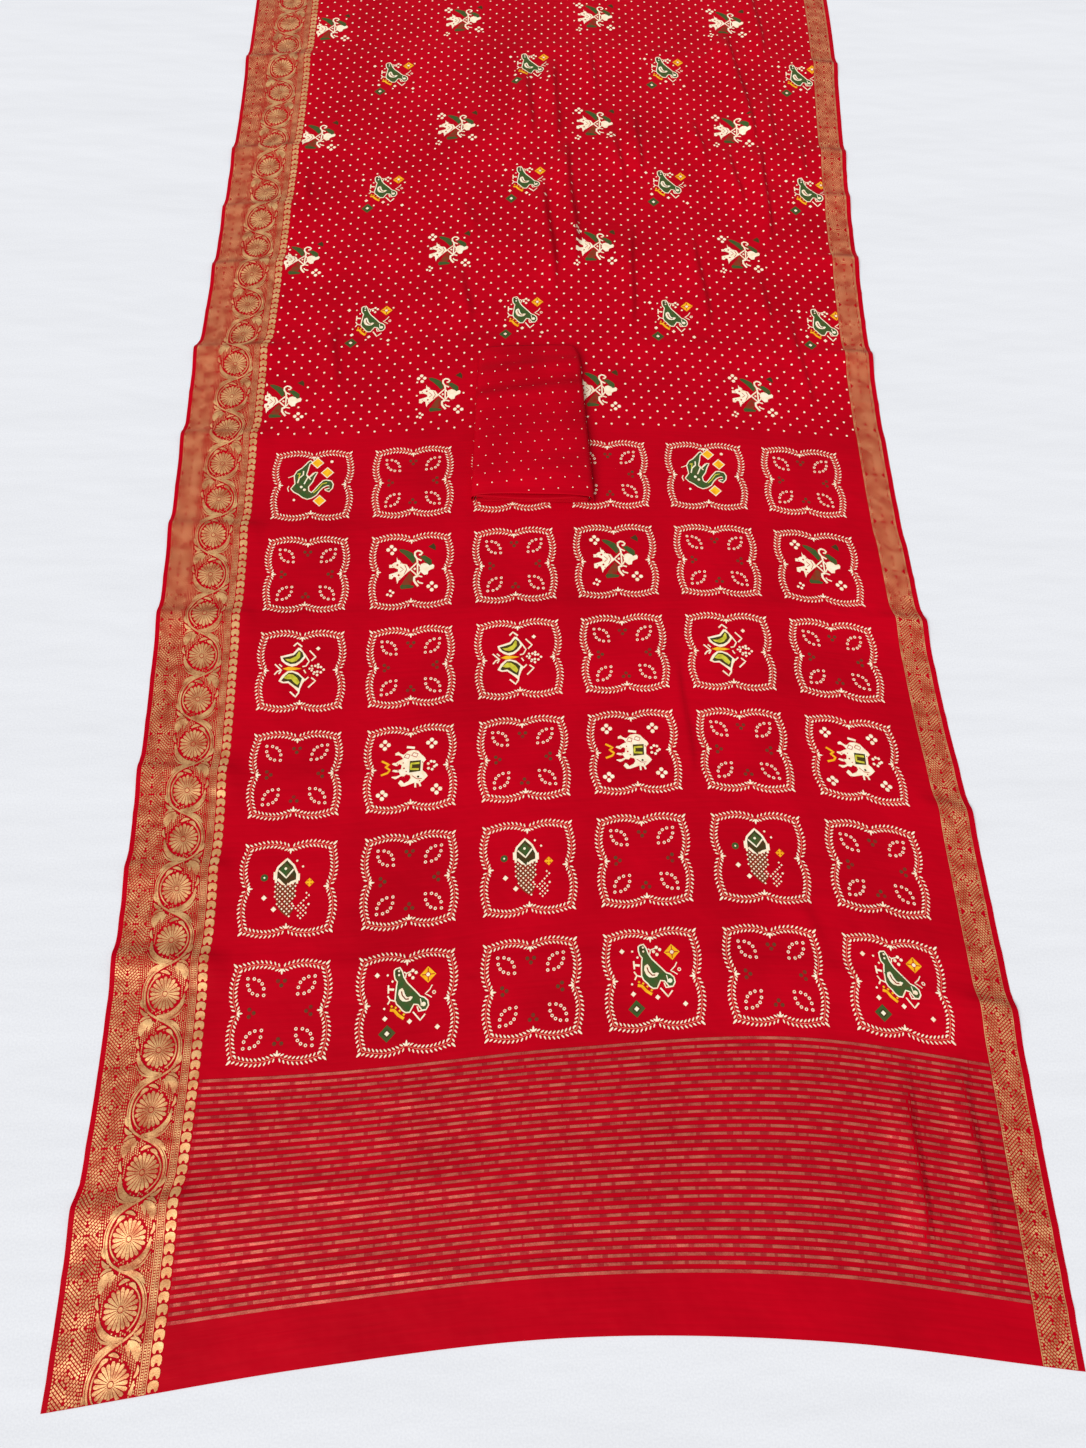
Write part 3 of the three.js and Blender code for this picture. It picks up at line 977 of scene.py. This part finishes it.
dancer = [
    ("cream", "dots", 3.0, [
        (-30, 42), (-25, 37), (-29, 31), (-35, 37), (30, -22), (36, -28), (30, -33), (25, -27),
    ]),
    ("cream", "dots", 2.1, [(-31, -31), (-27, -34), (-30, -39), (-35, -37)]),
    ("green", "fill", 0, [
        (-19, 37), (-13, 37), (-6, 34), (1, 30), (5, 21), (6, 16), (2, 12), (-3, 19), (-10, 27),
        (-17, 33),
    ]),
    ("green", "fill", 0, [
        (12, 23), (19, 25), (26, 20), (30, 16), (30, 9), (26, 8), (20, 14), (15, 20),
    ]),
    ("rust", "fill", 0, [(-2, -2), (3, -8), (2, -16), (-1, -23), (-15, -22), (-8, -10)]),
    ("green", "fill", 0, [(-17, -25), (-15, -22), (-3, -23), (4, -25), (2, -28), (-15, -29)]),
    ("dark", "fill", 0, [(33, 44), (36, 39), (36, 32), (31, 35), (25, 39)]),
    ("cream", "fill", 0, [
        (-3, 4), (-7, 11), (-14, 13), (-18, 19), (-20, 19), (-22, 24), (-22, 16), (-26, 15), (-29, 12),
        (-33, 12), (-33, 7), (-26, 7), (-20, 4), (-20, 0), (-26, -2), (-33, -4), (-33, -11),
        (-29, -12), (-26, -8), (-23, -9), (-21, -20), (-19, -15), (-12, -8), (-6, -2), (-2, 1),
    ]),
    ("ground", "diamonds", 2.0, [(-21, 11), (-19, -6)]),
    ("ground", "line", 1.0, [(-10, 10), (-7, 3), (-11, -5)]),
    ("ground", "line", 0.9, [(-17, 8), (-12, 3), (-17, -1)]),
    ("ground", "dots", 0.9, [(-28, 9), (-28, -6), (-16, 14), (-17, -11), (-22, 2)]),
    ("cream", "line", 2.2, [(-2, 3), (9, 14), (9, -9), (-2, 3)]),
    ("cream", "diamonds", 2.2, [(5, 3)]),
    ("cream", "line", 2.0, [(9, 12), (14, 5)]),
    ("cream", "line", 2.0, [(10, -7), (14, 0)]),
    ("cream", "fill", 0, [
        (12, 3), (14, 10), (19, 12), (24, 10), (27, 7), (32, 9), (34, 6), (33, 2), (28, 0), (25, -2),
        (24, -7), (19, -8), (14, -3),
    ]),
    ("cream", "line", 2.6, [
        (9, 13), (8, 20), (5, 25), (5, 30), (9, 33), (13, 32), (16, 29), (14, 26), (11, 26),
    ]),
    ("cream", "line", 2.2, [(8, 20), (15, 16)]),
    ("cream", "line", 3.2, [(9, -9), (4, -11), (4, -17), (7, -22), (10, -26)]),
    ("cream", "line", 2.2, [(10, -9), (16, -11)]),
    ("cream", "line", 2.2, [(9, -17), (11, -20), (17, -22)]),
]
butterfly = [
    ("cream", "fill", 0, [
        (-30, 22), (-19, 25), (-12, 27), (-5, 36), (-2, 34), (4, 26), (6, 21), (1, 14), (-6, 8),
        (-13, 6), (-21, 9), (-28, 15),
    ]),
    ("dark", "fill", 0, [
        (-27, 20), (-18, 22), (-11, 24), (-4, 32), (1, 28), (3, 22), (-2, 15), (-8, 11), (-15, 10),
        (-23, 14),
    ]),
    ("lime", "fill", 0, [
        (-23, 18), (-16, 18), (-8, 22), (-4, 30), (-2, 28), (-2, 21), (-7, 15), (-13, 13), (-20, 15),
    ]),
    ("cream", "fill", 0, [
        (-31, -16), (-26, -7), (-19, -1), (-13, 0), (-4, -3), (2, -9), (7, -14), (3, -20), (0, -28),
        (-3, -32), (-9, -26), (-17, -19), (-25, -19),
    ]),
    ("dark", "fill", 0, [
        (-27, -15), (-22, -8), (-17, -3), (-11, -3), (-3, -7), (2, -12), (0, -19), (-2, -27),
        (-8, -23), (-17, -16), (-24, -17),
    ]),
    ("lime", "fill", 0, [
        (-24, -11), (-17, -5), (-11, -6), (-5, -11), (-1, -18), (-4, -22), (-9, -18), (-13, -13),
        (-19, -13),
    ]),
    ("yellow", "fill", 0, [(-26, 3), (-18, 6), (-8, 5), (1, 3), (-8, 1), (-18, 0)]),
    ("cream", "line", 2.0, [(-37, 10), (-33, 6), (-27, 0)]),
    ("cream", "line", 2.0, [(-37, -6), (-33, -1), (-27, 1)]),
    ("cream", "line", 1.8, [(-31, 10), (-27, 6)]),
    ("cream", "line", 1.8, [(-31, -5), (-28, -1)]),
    ("cream", "line", 2.2, [(-12, 38), (-7, 43), (0, 37)]),
    ("cream", "line", 2.2, [(-14, -32), (-6, -40), (-2, -34), (-1, -27)]),
    ("cream", "line", 2.0, [(11, 31), (20, 21), (14, 15)]),
    ("cream", "line", 2.0, [(15, -11), (21, -16), (11, -26)]),
    ("cream", "line", 1.8, [(-3, 35), (5, 24), (11, 14), (7, 7), (2, 6)]),
    ("cream", "line", 2.0, [(6, -15), (11, -10)]),
    ("cream", "line", 1.8, [(4, 1), (7, -4)]),
    ("cream", "dots", 1.9, [
        (24, 9), (28, 5), (32, 1), (28, -3), (23, -7), (19, -3), (20, 7), (24, 5), (23, -2),
    ]),
    ("cream", "dots", 1.6, [(12, 3), (15, 0), (18, -5), (15, 7), (16, 3)]),
    ("cream", "diamonds", 3.2, [(23, 34)]),
]
elephant = [
    ("cream", "dots", 3.0, [
        (-35, 41), (-30, 36), (-35, 31), (-40, 36), (29, 39), (34, 34), (29, 29), (24, 35), (-37, -32),
        (-33, -36), (-38, -41), (-43, -36), (35, -29), (40, -34), (35, -39), (30, -34),
    ]),
    ("cream", "dots", 2.0, [(29, 7), (25, 4), (33, 6), (36, 1), (30, -5), (25, -3), (33, -1)]),
    ("yellow", "line", 2.8, [(-38, 13), (-28, 7), (-33, 4), (-27, -1), (-30, -5), (-39, -8)]),
    ("cream", "fill", 0, [
        (-7, 21), (-3, 25), (5, 26), (11, 24), (15, 19), (20, 14), (22, 10), (18, 6), (17, -5),
        (21, -9), (24, -14), (18, -20), (12, -24), (6, -22), (-7, -26), (-12, -26), (-16, -21),
        (-13, -17), (-11, -18), (-8, -22), (-2, -19), (1, -15), (0, -11), (-5, -9), (-8, -12),
        (-12, -11), (-17, -14), (-20, -15), (-25, -12), (-24, -11), (-18, -11), (-13, -9), (-15, -5),
        (-19, -5), (-24, -3), (-22, -1), (-17, -2), (-12, -1), (-11, 5), (-14, 7), (-18, 4), (-24, 7),
        (-23, 9), (-19, 9), (-14, 12), (-9, 14), (-13, 19), (-16, 20), (-20, 20), (-20, 23), (-16, 25),
        (-13, 22), (-9, 20),
    ]),
    ("cream", "line", 3.2, [(-5, 31), (6, 29)]),
    ("cream", "line", 2.4, [(7, -22), (7, -29)]),
    ("cream", "line", 2.4, [(12, -22), (14, -28)]),
    ("dark", "fill", 0, [(0, 10), (15, 10), (14, -6), (-1, -7)]),
    ("lime", "line", 2.8, [(13, 6), (2, 6), (1, -2), (12, -3)]),
    ("dark", "dots", 1.7, [(11, -14)]),
    ("ground", "dots", 1.3, [(-8, 0)]),
    ("ground", "line", 1.0, [(-8, 16), (-5, 21), (0, 19), (-2, 14), (-8, 16)]),
    ("ground", "line", 1.0, [(2, 18), (5, 22), (11, 20), (9, 15), (2, 18)]),
    ("ground", "line", 0.9, [(3, -12), (9, -17), (16, -17)]),
    ("ground", "dots", 0.9, [(-12, 17), (-17, 7), (-16, -3), (-9, 8), (-5, -5), (17, 7), (13, -20)]),
]
fish = [
    ("dark", "fill", 0, [
        (-3, 38), (1, 34), (7, 27), (10, 19), (12, 17), (11, 4), (4, 8), (-3, 2), (-12, 9), (-16, 6),
        (-16, 20), (-15, 25), (-11, 30), (-8, 35),
    ]),
    ("cream", "line", 2.8, [(-16, 7), (-16, 21), (-14, 27), (-3, 38), (6, 29), (11, 18), (11, 5)]),
    ("cream", "line", 3.0, [(-14, 12), (-9, 7), (-3, 1), (4, 7), (10, 9)]),
    ("cream", "line", 2.0, [(-13, 23), (-3, 13), (6, 24)]),
    ("cream", "line", 2.6, [(-18, 21), (-18, 11)]),
    ("cream", "line", 2.6, [(13, 18), (13, 9)]),
    ("green", "fill", 0, [(-4, 33), (4, 25), (-3, 15), (-12, 23)]),
    ("cream", "dots", 1.8, [(-4, 25)]),
    ("rust", "fill", 0, [
        (-16, 6), (-3, 3), (9, 4), (8, -2), (9, -11), (6, -17), (2, -21), (8, -28), (4, -34), (0, -37),
        (-7, -31), (-12, -25), (-15, -15), (-16, -7),
    ]),
    ("cream", "lattice", 1.45, [
        (-18, 8), (11, 8), (9, -2), (10, -12), (6, -18), (9, -28), (2, -38), (-8, -32), (-13, -25),
        (-17, -15),
    ]),
    ("cream", "lattice", 1.45, [
        (3, -23), (15, -21), (19, -13), (24, -6), (28, -10), (20, -20), (27, -29), (18, -41), (7, -28),
    ]),
    ("cream", "dots", 1.5, [(10, 35), (18, 27), (27, -22)]),
    ("green", "dots", 4.8, [(-31, 14)]),
    ("cream", "dots", 1.3, [(-31, 14)]),
    ("yellow", "diamonds", 5.8, [(27, 6)]),
    ("cream", "diamonds", 3.6, [(-30, -12), (-17, -27)]),
    ("ground", "dots", 0.9, [(25, 8), (25, 4), (29, 8), (29, 4)]),
]
swan = [
    ("green", "edged", 1.6, [
        (-5, 45), (-2, 42), (-6, 38), (-8, 27), (-10, 19), (-5, 14), (3, 23), (7, 23), (3, 15), (0, 6),
        (-6, -3), (-5, -10), (-1, -13), (2, -10), (10, 1), (16, 8), (21, 9), (29, 7), (32, 1),
        (31, -6), (26, -12), (21, -10), (19, -8), (26, -6), (25, -1), (21, -2), (16, -5), (11, -11),
        (7, -18), (0, -23), (-7, -25), (-14, -22), (-21, -16), (-28, -12), (-33, -6), (-27, 3),
        (-29, 18), (-25, 26), (-18, 31), (-12, 38), (-8, 43),
    ]),
    ("cream", "line", 2.0, [(-15, 26), (-15, 19), (-21, 13), (-23, 4)]),
    ("cream", "line", 2.0, [(-7, 16), (-13, 2)]),
    ("cream", "line", 1.8, [(-10, 18), (-3, 10)]),
    ("cream", "line", 1.8, [(1, 22), (-5, 15)]),
    ("cream", "dots", 2.3, [(-17, -3), (-12, -8)]),
    ("cream", "dots", 2.0, [(-27, -26)]),
    ("cream", "dots", 2.5, [(28, 42)]),
    ("cream", "diamonds", 10.2, [(6, 40), (22, 22), (12, -28)]),
    ("yellow", "diamonds", 8.4, [(6, 40), (22, 22), (12, -28)]),
    ("lime", "line", 1.6, [(2, -14), (8, -8), (15, 2), (22, 4)]),
    ("lime", "line", 1.6, [(-24, 20), (-20, 22), (-22, 12)]),
    ("rust", "dots", 1.6, [(25, -4)]),
    ("cream", "line", 1.3, [(-38, 14), (-33, 16), (-29, 18)]),
    ("cream", "line", 1.3, [(-36, -1), (-38, -5), (-36, -11)]),
]
inks = {
    "cream": (cream, "cream_print"),
    "green": (ink("ink_green", colour(84, 80, 42), colour(56, 88, 40)), "green_print"),
    "yellow": (ink("ink_yellow", colour(240, 156, 16), colour(252, 192, 34)), "yellow_print"),
    "lime": (ink("ink_lime", colour(176, 170, 40), colour(216, 206, 66)), "yellow_print"),
    "dark": (ink("ink_dark", colour(86, 50, 26), colour(62, 58, 26)), "green_print"),
    "rust": (ink("ink_rust", colour(150, 30, 22), colour(126, 62, 34)), "red_cloth"),
    "ground": (ground, "red_cloth"),
}

# A motif is cut into cells small enough to bend with the cloth, each shape a step above the
# shapes that it is printed over. Cross-hatched parts are a lattice of small squares.
cell = 0.006
cells_each_way = 9
print_step = 0.00008
outline_step = 0.004
lattice_pitch = 0.0032


def cut_small(shapes, start=-1.0, end=1.0):
    """Cuts flat shapes along a grid so that they can bend, and trims them at two sides."""
    points, faces = shapes.joined()
    mesh = bmesh.new()
    corners = [mesh.verts.new(point) for point in points]
    for face in faces:
        mesh.faces.new([corners[i] for i in face])
    cuts = []
    for way in ((1, 0, 0), (0, 1, 0)):
        cuts += [(way, k * cell, False) for k in range(-cells_each_way, cells_each_way + 1)]
    cuts += [((1, 0, 0), end, True), ((-1, 0, 0), -start, True)]
    for way, at, trim in cuts:
        bmesh.ops.bisect_plane(
            mesh,
            geom=mesh.verts[:] + mesh.edges[:] + mesh.faces[:],
            plane_co=Vector(way) * at,
            plane_no=way,
            clear_outer=trim,
        )
    mesh.verts.index_update()
    cut = Shapes()
    cut.add([v.co[:] for v in mesh.verts], [[v.index for v in f.verts] for f in mesh.faces])
    mesh.free()
    return cut


def lattice(outline):
    """The crossings of a small diagonal lattice that lie inside an outline."""
    low, high = outline.min(0), outline.max(0)
    count = ((high - low) / lattice_pitch).astype(int) + 1
    inside = []
    for i in range(count[0]):
        for j in range(count[1]):
            x, y = low + np.array([i + 0.5, j + 0.5]) * lattice_pitch
            crossings = 0
            for (x0, y0), (x1, y1) in zip(outline, np.roll(outline, -1, 0)):
                if (y0 > y) != (y1 > y) and x < x0 + (x1 - x0) * (y - y0) / (y1 - y0):
                    crossings += 1
            if (i + j) % 2 == 0 and crossings % 2:
                inside.append((x, y))
    return np.array(inside)


def charted(chart):
    """The chart's shapes by ink, each raised a little over those that it lies on."""
    by_ink = {}
    below = []
    for name, kind, size, points in chart:
        points = np.array(points) * 0.001
        size = size * 0.001
        spots = points[:, None] if kind in ("dots", "diamonds") else [points]
        boxes = [(spot.min(0) - size / 2, spot.max(0) + size / 2) for spot in spots]
        layer = 0
        for low, high in boxes:
            for other_low, other_high, other_layer in below:
                if (low < other_high).all() and (other_low < high).all():
                    layer = max(layer, other_layer + 1)
        below += [(low, high, layer) for low, high in boxes]
        shapes = by_ink.setdefault(name, Shapes())
        shapes.lift = layer * print_step
        if kind in ("fill", "edged"):
            shapes.fill(points)
        elif kind == "line":
            shapes.line(finer(points, outline_step), size / 2)
        elif kind == "dots":
            shapes.dots(points, size, 8)
        else:
            centres = lattice(points) if kind == "lattice" else points
            shapes.dots(centres, size, 4)
        if kind == "edged":
            edge = by_ink.setdefault("cream", Shapes())
            edge.lift = (layer + 1) * print_step
            edge.line(finer(np.concatenate([points, points[:1]]), outline_step), size / 2)
            below += [(low, high, layer + 1) for low, high in boxes]
    return by_ink


# Every second panel holds a motif, one kind to a row, counted from the stripes. Over the body
# dancers and parrots stand in rows by turns, and the first dancer and the last parrot of a
# row are cut off where the borders begin.
row_motifs = [parrot, fish, elephant, butterfly, dancer, swan]
body_first = 1.305
body_pitch = 0.1507
body_gap_across = 0.2556
body_across = 4
dancer_first = 0.1467
parrot_first = 0.2776
border_clear = 0.0008
printed = {name: Shapes() for name in inks}


def print_motif(by_ink, places, start=-1.0, end=1.0):
    for name, shapes in by_ink.items():
        printed[name].repeat(cut_small(shapes, start, end), places)


for row, motif in enumerate(row_motifs):
    places = [place for r, column_at, place in panels if r == row and (row + column_at) % 2]
    print_motif(charted(motif), places)
last = body_across - 1
start_at = stripe_from - dancer_first + border_clear
end_at = stripe_to - parrot_first - last * body_gap_across - border_clear
body_rows = int((cloth_length - body_first) / body_pitch) + 1
body_motifs = []
for motif, first_row, first, cut_off, start, end in (
    (charted(dancer), 0, dancer_first, 0, start_at, 1.0),
    (charted(parrot), 1, parrot_first, last, -1.0, end_at),
):
    whole = []
    at_border = []
    for row in range(first_row, body_rows, 2):
        for k in range(body_across):
            place = (first + k * body_gap_across, body_first + row * body_pitch)
            (at_border if k == cut_off else whole).append(place)
    print_motif(motif, whole)
    print_motif(motif, at_border, start, end)
    body_motifs.append((motif, whole + at_border))
for name, shapes in printed.items():
    put_on_cloth("motifs_" + name, shapes, first_lift, *inks[name])

# The body's ground: small cream dots in staggered rows from the panels to the inner end, left
# out where a motif stands.
dot_first = 1.243
dot_row_gap = 0.0131
dot_gap = 0.0252
dot_radius = 0.0018
dots_from_left = 0.005
dots_from_right = 0.003
motif_reach = 0.06
motif_clearance = 0.0045
spots = []
for row in range(int((cloth_length - dot_first) / dot_row_gap)):
    start = stripe_from + dots_from_left + (row % 2) * dot_gap / 2
    for across in np.arange(start, stripe_to - dots_from_right, dot_gap):
        spots.append((across, dot_first + row * dot_row_gap))
spots = np.array(spots)
clear = np.full(len(spots), True)
for motif, places in body_motifs:
    cloud = np.concatenate([cut_small(shapes).joined()[0][:, :2] for shapes in motif.values()])
    for place in places:
        near = np.where(np.abs(spots - place).max(1) < motif_reach)[0]
        away = spots[near, None] - (cloud + place)
        clear[near] &= np.linalg.norm(away, axis=2).min(1) > motif_clearance
dots = Shapes()
dots.dots(spots[clear], dot_radius)
put_on_cloth("body_dots", dots, first_lift, cream, "cream_print")

# The blouse piece: a metre of the same crepe, dotted small, folded to and fro into a packet
# and laid on the saree. Its last layer comes up round the left side, lies over the rest and
# goes down the right side. The packet is narrower and sags at its far end.
blouse_across = 0.550
blouse_along = 1.240
packet_half_width = 0.084
packet_length = 0.288
packet_layers = 15
layer_thickness = 0.0010
layer_pitch = 0.0014
layer_unevenness = 0.0004
inner_radius = 0.005
tuck_radius = 0.0013
tuck_height = 0.0022
inner_heights = (0.010, 0.004)
wrap_radius = 0.009
wrap_opening = 0.0034
wrap_left_heights = (0.006, 0.011)
wrap_right_heights = (0.011, 0.006, 0.0025)
packet_rest = 0.0005

# At the open near end each layer has a lip, which stands out by its own length and droops,
# and the middle of the stack is sunk.
lip_mean = 0.0005
lip_step = 0.0007
lip_reach = 0.06
lip_at_side = 0.3
lip_droop = 0.22
droop_reach = 0.08
droop_in_middle = 0.35
sunk_share = 0.50
sunk_reach = 0.40
sunk_shape = 0.35

# Towards the far end it narrows and sags, with rounded corners. Its swells have the share of
# the way back, half length and rise, and lie a little aslant.
packet_taper = 0.13
packet_sag = 0.14
end_reach = 0.05
end_rounding = 0.10
end_sag = 0.05
side_sag = 0.2
packet_skew = 0.004
packet_swells = [
    (0.14, 0.12, 0.12), (0.38, 0.14, 0.08), (0.66, 0.07, 0.34), (0.83, 0.06, 0.30),
]
swell_slant = 0.036


def arc(centre, radius, start, end, count):
    turn = np.radians(np.linspace(start, end, count))
    return np.array(centre) + radius * np.stack([np.cos(turn), np.sin(turn)], 1)


# The section of the packet, from its innermost end: across from its middle, and up. The
# remainders of the layer's number make widths and lips differ from layer to layer.
section = []
lip = []
height = layer_thickness / 2
side = -1
for layer in range(packet_layers):
    reach = packet_half_width - layer_unevenness * (layer * 5 % 7)
    section += [(x, height) for x in np.linspace(-side * reach, side * reach, 9)]
    if layer < packet_layers - 1:
        middle = (side * reach, height + layer_pitch / 2)
        turns = arc(middle, layer_pitch / 2, -90, 90, 5)[1:-1]
        turns[:, 0] = middle[0] + side * np.abs(turns[:, 0] - middle[0])
        section += turns.tolist()
    lip += [lip_mean + lip_step * (layer * 3 % 5 - 2)] * (len(section) - len(lip))
    height += layer_pitch
    side = -side
top_height = height - layer_pitch
wrap_height = top_height + wrap_opening
left_edge = -packet_half_width
inner_side = left_edge - inner_radius
section += arc((left_edge, top_height - inner_radius), inner_radius, 90, 180, 5)[1:].tolist()
section += [(inner_side, z) for z in inner_heights]
section += arc((inner_side - tuck_radius, tuck_height), tuck_radius, 0, -180, 5)[1:].tolist()
wrap_starts = len(section)
wrap_side = packet_half_width + wrap_radius
section += [(-wrap_side, z) for z in wrap_left_heights]
section += arc((left_edge, wrap_height - wrap_radius), wrap_radius, 180, 90, 8).tolist()
section += [(x, wrap_height) for x in np.linspace(left_edge, -left_edge, 19)[1:-1]]
section += arc((-left_edge, wrap_height - wrap_radius), wrap_radius, 90, 0, 8).tolist()
section += [(wrap_side, z) for z in wrap_right_heights]
lip += [0.0] * (len(section) - len(lip))
section = np.array(section)
section_length = measured(section)
near_part = [0.0, 0.008, 0.02, 0.035]
middle_part = np.linspace(0.06, 0.94, 23)
far_part = [0.965, 0.98, 0.992, 1.0]
backs = np.concatenate([near_part, middle_part, far_part])
centre = lie(np.array([blouse_across]), np.array([blouse_along]))[0] + off_centre
packet_floor = cloth_thickness + packet_rest


def on_packet(x, z, back):
    """Where a point of the section lies at a share of the way to the far end."""
    beside = np.abs(x) / wrap_side
    at_end = bump((1 - back) / end_reach)
    narrow = (1 - packet_taper * back) * (1 - end_rounding * at_end * beside**6)
    swell = 1 - packet_sag * back - end_sag * at_end
    aslant = back - swell_slant * x / packet_half_width
    for at_share, half_length, rise in packet_swells:
        swell = swell + rise * bump((aslant - at_share) / half_length)
    in_middle = droop_in_middle + (1 - droop_in_middle) * beside**4
    droop = lip_droop * bump(back / droop_reach) * in_middle
    up = z * (1 - side_sag * beside**4 - droop) * swell
    length = packet_length + packet_skew * x / packet_half_width
    along = centre[1] + length * (back - 0.5)
    return np.stack([centre[0] + x * narrow, along, packet_floor + up], -1)


stacked = np.arange(len(section)) < wrap_starts
in_middle = bump(section[:, 0] / packet_half_width)
lip = np.array(lip) * (lip_at_side + (1 - lip_at_side) * in_middle)
packet_points = []
packet_flat = []
for back in backs:
    ahead = lip * bump(back / lip_reach) / packet_length
    sinking = sunk_share * bump(back / sunk_reach) * in_middle**sunk_shape * stacked
    packet_points.append(on_packet(section[:, 0], section[:, 1] * (1 - sinking), back - ahead))
    flat_along = np.full(len(section), back * packet_length)
    packet_flat.append(np.stack([section_length, flat_along], 1))
packet_points = np.concatenate(packet_points)
packet_flat = np.concatenate(packet_flat)
packet_faces = grid_faces(np.arange(len(packet_points)).reshape(len(backs), -1))
blouse_crepe = red_crepe("blouse_crepe", red, colour(172, 0, 20))
packet = new_piece("blouse_packet", packet_points, packet_faces, packet_flat, blouse_crepe)
bpy.context.view_layer.objects.active = packet
solid = packet.modifiers.new("thickness", "SOLIDIFY")
solid.thickness = layer_thickness
solid.offset = 0
bpy.ops.object.modifier_apply(modifier=solid.name)
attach(packet, "root")
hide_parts("blouse_piece")

# Its dots, in slanting rows over the layer on top: where they are round the wrap and along.
blouse_dot_radius = 0.00105
blouse_dot_gap = 0.0222
blouse_row_gap = 0.0176
blouse_row_slant = 0.10
blouse_first_round = 0.012
blouse_first_along = 0.006
blouse_last_along = 0.276
blouse_dot_clear = 0.004
blouse_dot_lift = 0.0004
blouse_rows = range(-1, 18)
blouse_dots_in_row = 10
ahead_step = 0.0003
wrap_from = section_length[wrap_starts]
wrap_length = section_length[-1] - wrap_from
spots = []
for row in blouse_rows:
    for k in range(blouse_dots_in_row):
        round_wrap = blouse_first_round + (k + row % 2 / 2) * blouse_dot_gap
        slant = blouse_row_slant * (round_wrap - wrap_length / 2)
        along = blouse_first_along + row * blouse_row_gap + slant
        on_wrap = blouse_dot_clear < round_wrap < wrap_length - blouse_dot_clear
        if on_wrap and blouse_dot_clear < along < blouse_last_along:
            spots.append((wrap_from + round_wrap, along))
dots = Shapes()
dots.dots(spots, blouse_dot_radius)
flat, faces = dots.joined()
lies = point_at(section, section_length, flat[:, 0])
way = point_at(section, section_length, flat[:, 0] + ahead_step) - lies
outwards = np.stack([-way[1], way[0]]) / np.linalg.norm(way, axis=0)
x, z = lies + outwards * (layer_thickness / 2 + blouse_dot_lift)
dot_points = on_packet(x, z, flat[:, 1] / packet_length)
blouse_dots = new_piece("blouse_dots", dot_points, faces, flat[:, :2], cream)
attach(blouse_dots, "root")

# The ground: plain, matte and nearly white, with a fine weave and shallow crumples.
floor_corners = [(-4, -6), (4, -6), (4, 6), (-4, 6)]
floor_mesh = bpy.data.meshes.new("ground")
floor_mesh.from_pydata([(x, y, 0) for x, y in floor_corners], [], [(0, 1, 2, 3)])
floor = bpy.data.objects.new("ground", floor_mesh)
bpy.context.collection.objects.link(floor)
floor_map = floor_mesh.uv_layers.new(name="Cloth")
for corner, place in zip(floor_map.uv, floor_corners):
    corner.vector = place
sheet, shader, at = new_material("ground_sheet", roughness=0.9, Specular_IOR_Level=0.1)
weave = noise(at, 420.0)
crumple = noise(at, 5.0, (0.5, 1.6), 3.0)
set_colour(shader, weave.over(0.3, 0.4).mix(colour(228, 229, 233), colour(236, 237, 240)))
set_bump(shader, crumple + weave * 0.02, distance=0.012, strength=0.5)
floor_mesh.materials.append(sheet)

# Daylight from a large window at the near left, and the sky all round.
sky_colour = (0.95, 0.97, 1.0, 1.0)
sky_strength = 0.40
window_way = (0.42, 0.70, -0.85)
world = bpy.data.worlds.new("sky")
world.use_nodes = True
sky = world.node_tree.nodes["Background"].inputs
sky["Color"].default_value = sky_colour
sky["Strength"].default_value = sky_strength
bpy.context.scene.world = world
window_light = bpy.data.lights.new("window", "SUN")
window_light.angle = 0.7
window_light.energy = 2.80
window = bpy.data.objects.new("window", window_light)
window.rotation_euler = Vector(window_way).to_track_quat("-Z", "Y").to_euler()
bpy.context.collection.objects.link(window)

# The camera stands over the raw end, looking down along the cloth, a little turned and
# tilted: how far it looks down, to the right, and how far it is rolled, in degrees.
camera_place = (-0.0749, -2.4907, 1.2355)
pitch, yaw, roll = np.radians((67.73, 5.05, 3.86))
camera_data = bpy.data.cameras.new("camera")
camera_data.lens = 24.07
camera_data.sensor_width = 36
camera = bpy.data.objects.new("camera", camera_data)
forward = Vector((np.sin(yaw) * np.cos(pitch), np.cos(yaw) * np.cos(pitch), -np.sin(pitch)))
level = Vector((np.cos(yaw), -np.sin(yaw), 0))
lifted = level.cross(forward)
right = np.cos(roll) * level + np.sin(roll) * lifted
up = -np.sin(roll) * level + np.cos(roll) * lifted
turned = Matrix((right, up, -forward)).transposed()
camera.matrix_world = Matrix.Translation(camera_place) @ turned.to_4x4()
bpy.context.collection.objects.link(camera)
bpy.context.scene.camera = camera
bpy.context.scene.view_settings.view_transform = "Standard"
